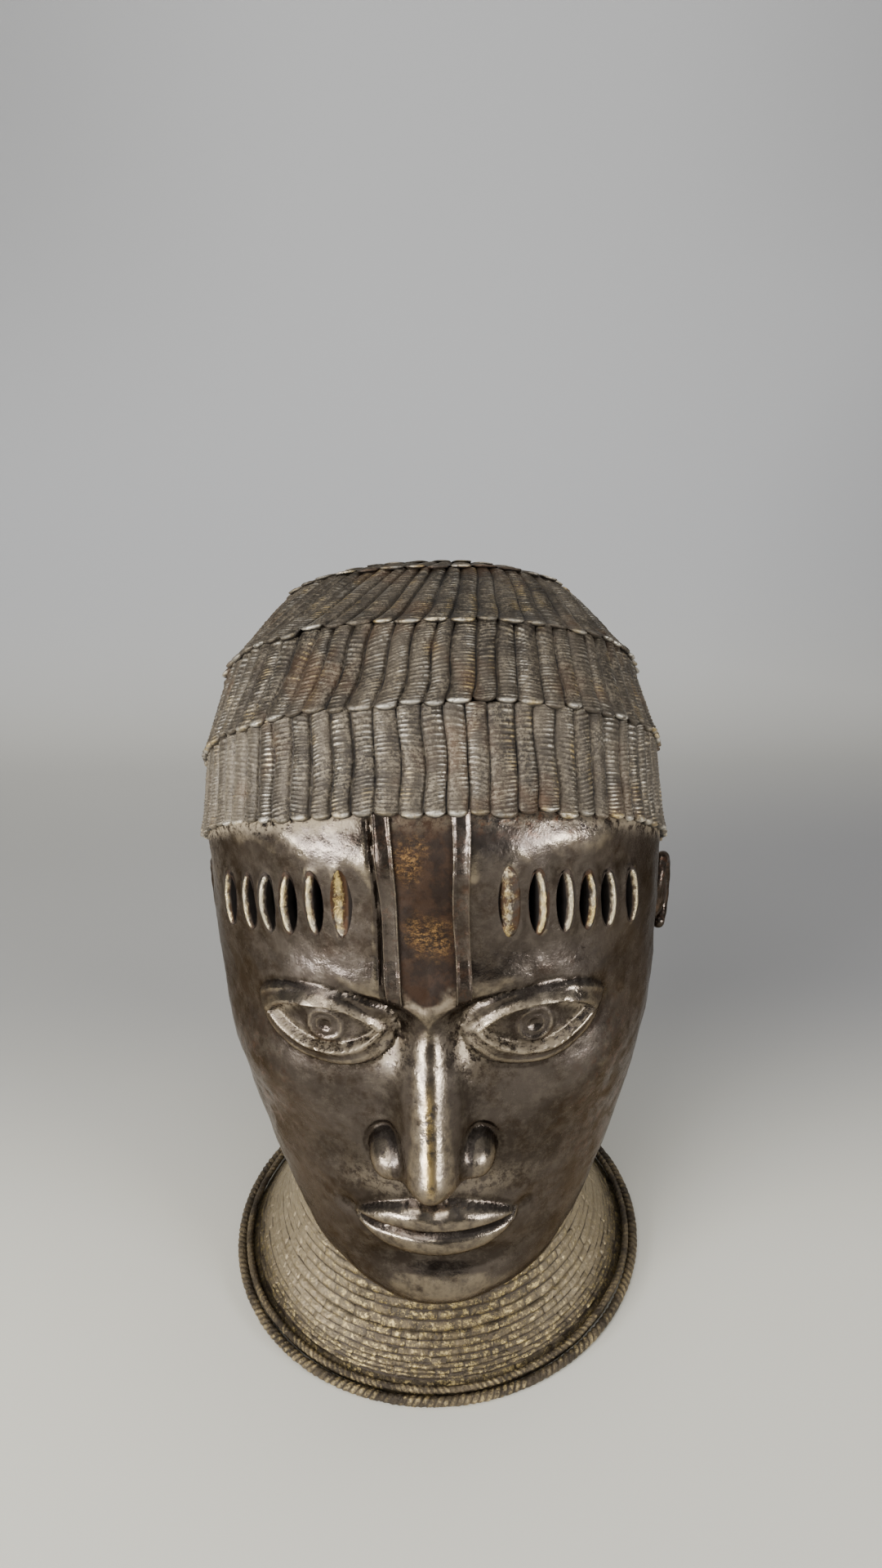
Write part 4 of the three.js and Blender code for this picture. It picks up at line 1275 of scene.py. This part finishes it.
def ear(side, material):
    """The fold as a tapered tube, and the bowl inside it."""
    half, fold = EAR_LENGTH / 2, EAR_RIM / 2
    depth = half * EAR_BREADTH
    t = np.linspace(0, 1, 44)
    turn = np.radians(np.interp(t, np.linspace(0, 1, len(EAR_TURNS)), EAR_TURNS))
    path = points_at(0.0, (depth - fold) * np.cos(turn), (half - fold) * np.sin(turn))
    tangent = unit(np.gradient(path, axis=0))
    out = np.array([1.0, 0, 0])
    phi = around(18)[:, None]
    ring = np.cos(phi) * out + np.sin(phi) * np.cross(tangent, out)[:, None]
    radius = fold * (0.55 + 0.45 * smooth_step(0, 0.18, t)) * (0.96 + 0.03 * np.sin(60 * t))
    tube = path[:, None] + radius[:, None, None] * ring
    tube_ends = path[0] - 1.2 * tangent[0], path[-1] + 1.4 * tangent[-1]

    rise = np.linspace(-1.35, 1.45, 16)[:, None]
    spin = around(30)
    x = (EAR_PROUD + 2.5) * np.cos(rise) * np.cos(spin) - EAR_PROUD
    bowl = points_at(x, depth * np.cos(rise) * np.sin(spin), half * np.sin(rise))
    bowl_ends = np.array([-EAR_PROUD, 0, -half]), np.array([-EAR_PROUD, 0, half])

    def place(p):
        c, s = math.cos(EAR_LEAN), math.sin(EAR_LEAN)
        p = (p + [EAR_PROUD, 0, 0]) @ np.array([[c, -s, 0], [s, c, 0], [0, 0, 1]])
        return (p + EAR_CENTRE) * [side, 1, 1] + HEAD_PLACE

    for grid, ends in ((tube, tube_ends), (bowl, bowl_ends)):
        # Painted shade: the ears are darkened all over by a low form and by the rust value
        values = plain_values(grid.shape[:2], -0.8, 0.6)
        yield capped_piece("ear_" + side_name(side), place(grid), material, values, tuple(map(place, ends)))


def joined(pieces):
    """One object of several."""
    pieces = list(pieces)
    bpy.ops.object.select_all(action="DESELECT")
    for piece in pieces:
        piece.select_set(True)
    bpy.context.view_layer.objects.active = pieces[0]
    bpy.ops.object.join()
    return pieces[0]


# The studio: a pale floor that curves up behind the head, soft lights and the camera

FLOOR_NEAR, FLOOR_FAR, FLOOR_SHADE = (0.600, 0.580, 0.505), (0.420, 0.420, 0.420), (0.262, 0.259, 0.258)
FLOOR_FRONT, FLOOR_FLAT, FLOOR_BEND, FLOOR_WALL, FLOOR_SIDE = -2600.0, 480.0, 420.0, 2600.0, 3000.0
ROOM = ((0.0, (0.10, 0.10, 0.105, 1)), (0.9, (0.75, 0.77, 0.80, 1)))
ROOM_STRENGTH = 0.55
MIDDLE, HIGHER = (0, 0, 0.15), (0, 0, 0.22)
WARM, WHITE, COOL = (1, 0.985, 0.96), (1, 1, 1), (0.97, 0.98, 1)

# Each light's name, place, aim, size, watts and colour
LIGHTS = (
    ("key", (-0.42, -0.80, 0.95), MIDDLE, (0.55, 0.55), 9, WARM),
    ("top", (0.15, -0.10, 1.60), MIDDLE, (0.9, 0.7), 8, WHITE),
    ("left", (-0.77, -0.78, 0.29), HIGHER, (0.60, 0.12), 19, COOL),
    ("right", (0.88, -0.66, 0.29), HIGHER, (0.36, 0.12), 11.5, COOL),
)
CAMERA_PLACE = (0.01695, -0.3570, 0.3802)
CAMERA_PITCH = math.radians(25.19)
CAMERA_YAW = math.radians(2.24)
CAMERA_ROLL = math.radians(-1.70)
LENS = 26.26


def floor():
    """A pale floor that sweeps up into a wall behind the head, with painted shade on it."""
    n = Shader("pale_paper")
    x, y, z = n.add("ShaderNodeSeparateXYZ", {0: n.place}).outputs
    # Painted shade: a band on the floor behind the head, darker on the right, the wall's upper corners and
    # the right side; the paper is also darker further back
    band = n.times(n.ramp(y, -0.05, 0.20), n.math("SUBTRACT", 1.0, n.ramp(y, 0.32, 0.70)))
    shade = n.most(
        n.times(band, n.scale(n.ramp(x, -0.4, 0.4), 0.70, 1.0)),
        n.times(n.ramp(n.math("ABSOLUTE", x), 0.10, 0.50), n.ramp(z, 0.10, 0.55), 0.50),
        n.times(n.ramp(x, 0.0, 1.0), 0.6),
    )
    pale = n.mix(n.ramp(y, 0.35, 0.8), FLOOR_NEAR, FLOOR_FAR)
    paper = n.mix(shade, pale, FLOOR_SHADE)
    n.fill(n.main, {"Base Color": paper, "Roughness": 0.9, "Specular IOR Level": 0.1})
    turn = np.linspace(0, math.pi / 2, 24)
    back = FLOOR_FLAT + FLOOR_BEND
    y = np.concatenate([[FLOOR_FRONT, -500], FLOOR_FLAT + FLOOR_BEND * np.sin(turn), [back]])
    z = np.concatenate([[0, 0], FLOOR_BEND * (1 - np.cos(turn)), [FLOOR_BEND + FLOOR_WALL]])
    points = np.array([(x, b, c) for b, c in zip(y, z) for x in (-FLOOR_SIDE, FLOOR_SIDE)])
    i = 2 * np.arange(len(y) - 1)
    piece = mesh_piece("floor", points, np.stack([i, i + 1, i + 3, i + 2], -1), n.material)


def placed(name, data, matrix):
    thing = bpy.data.objects.new(name, data)
    thing.matrix_world = matrix
    bpy.context.scene.collection.objects.link(thing)
    return thing


def area_light(name, place, target, size, power, colour):
    light = bpy.data.lights.new(name, "AREA")
    light.shape = "RECTANGLE"
    light.size, light.size_y = size
    light.energy = power
    light.color = colour
    way = unit(np.array(target, float) - place)
    side = unit(np.cross(way, [0, 0, 1]))
    turned = np.eye(4)
    turned[:3, :3] = np.stack([side, np.cross(side, way), -way], -1)
    turned[:3, 3] = place
    placed(name, light, Matrix(turned))


def studio():
    """A room that is bright above and dim below, and soft lights."""
    world = bpy.data.worlds.new("studio")
    world.use_nodes = True
    nodes, links = world.node_tree.nodes, world.node_tree.links
    place = nodes.new("ShaderNodeTexCoord")
    split = nodes.new("ShaderNodeSeparateXYZ")
    links.new(place.outputs["Generated"], split.inputs[0])
    ramp = nodes.new("ShaderNodeValToRGB")
    for element, (height, colour) in zip(ramp.color_ramp.elements, ROOM):
        element.position = height
        element.color = colour
    links.new(split.outputs["Z"], ramp.inputs[0])
    links.new(ramp.outputs[0], nodes["Background"].inputs["Color"])
    nodes["Background"].inputs["Strength"].default_value = ROOM_STRENGTH
    bpy.context.scene.world = world
    for light in LIGHTS:
        area_light(*light)


def camera():
    data = bpy.data.cameras.new("camera")
    data.sensor_width = 36
    data.lens = LENS
    data.clip_start = 0.01
    matrix = (
        Matrix.Translation(CAMERA_PLACE)
        @ Matrix.Rotation(CAMERA_YAW, 4, "Z")
        @ Matrix.Rotation(math.pi / 2 - CAMERA_PITCH, 4, "X")
        @ Matrix.Rotation(CAMERA_ROLL, 4, "Z")
    )
    bpy.context.scene.camera = placed("camera", data, matrix)


# The casting, piece by piece

face_material = face_bronze()
mark_material = mark_bronze()
hair_material = hair_bronze()
collar_material = collar_bronze()
rope_material = rope_bronze()

keep(head_shell(face_material))
for side in (-1, 1):
    keep(strip(side, face_material))
    keep(joined(ear(side, face_material)))
mark_rng = np.random.default_rng(31)
for mark in MARKS:
    keep(blind_mark(mark, mark_material) if mark[1] == 0 else pierced_mark(mark, mark_rng, mark_material))
for number, tier in enumerate(TIERS):
    keep(hair_tier(*tier, hair_material, 100 + number))
keep(crown_knob(hair_material))

flare_rows = np.concatenate([[0.4], ROPE_THICKNESS + np.cumsum(FLARE_STEPS)])
neck_rows = np.arange(flare_rows[-1], NECK_TOP, BEAD_PITCH)
keep(bead_rows("collar_flare", flare_rows, 84, None, collar_material, 51))
keep(bead_rows("collar_neck", neck_rows, 66, FLARE_HEIGHT * 0.7, collar_material, 52))
for piece in ropes(rope_material):
    keep(piece)

floor()
studio()
camera()

bpy.context.view_layer.update()
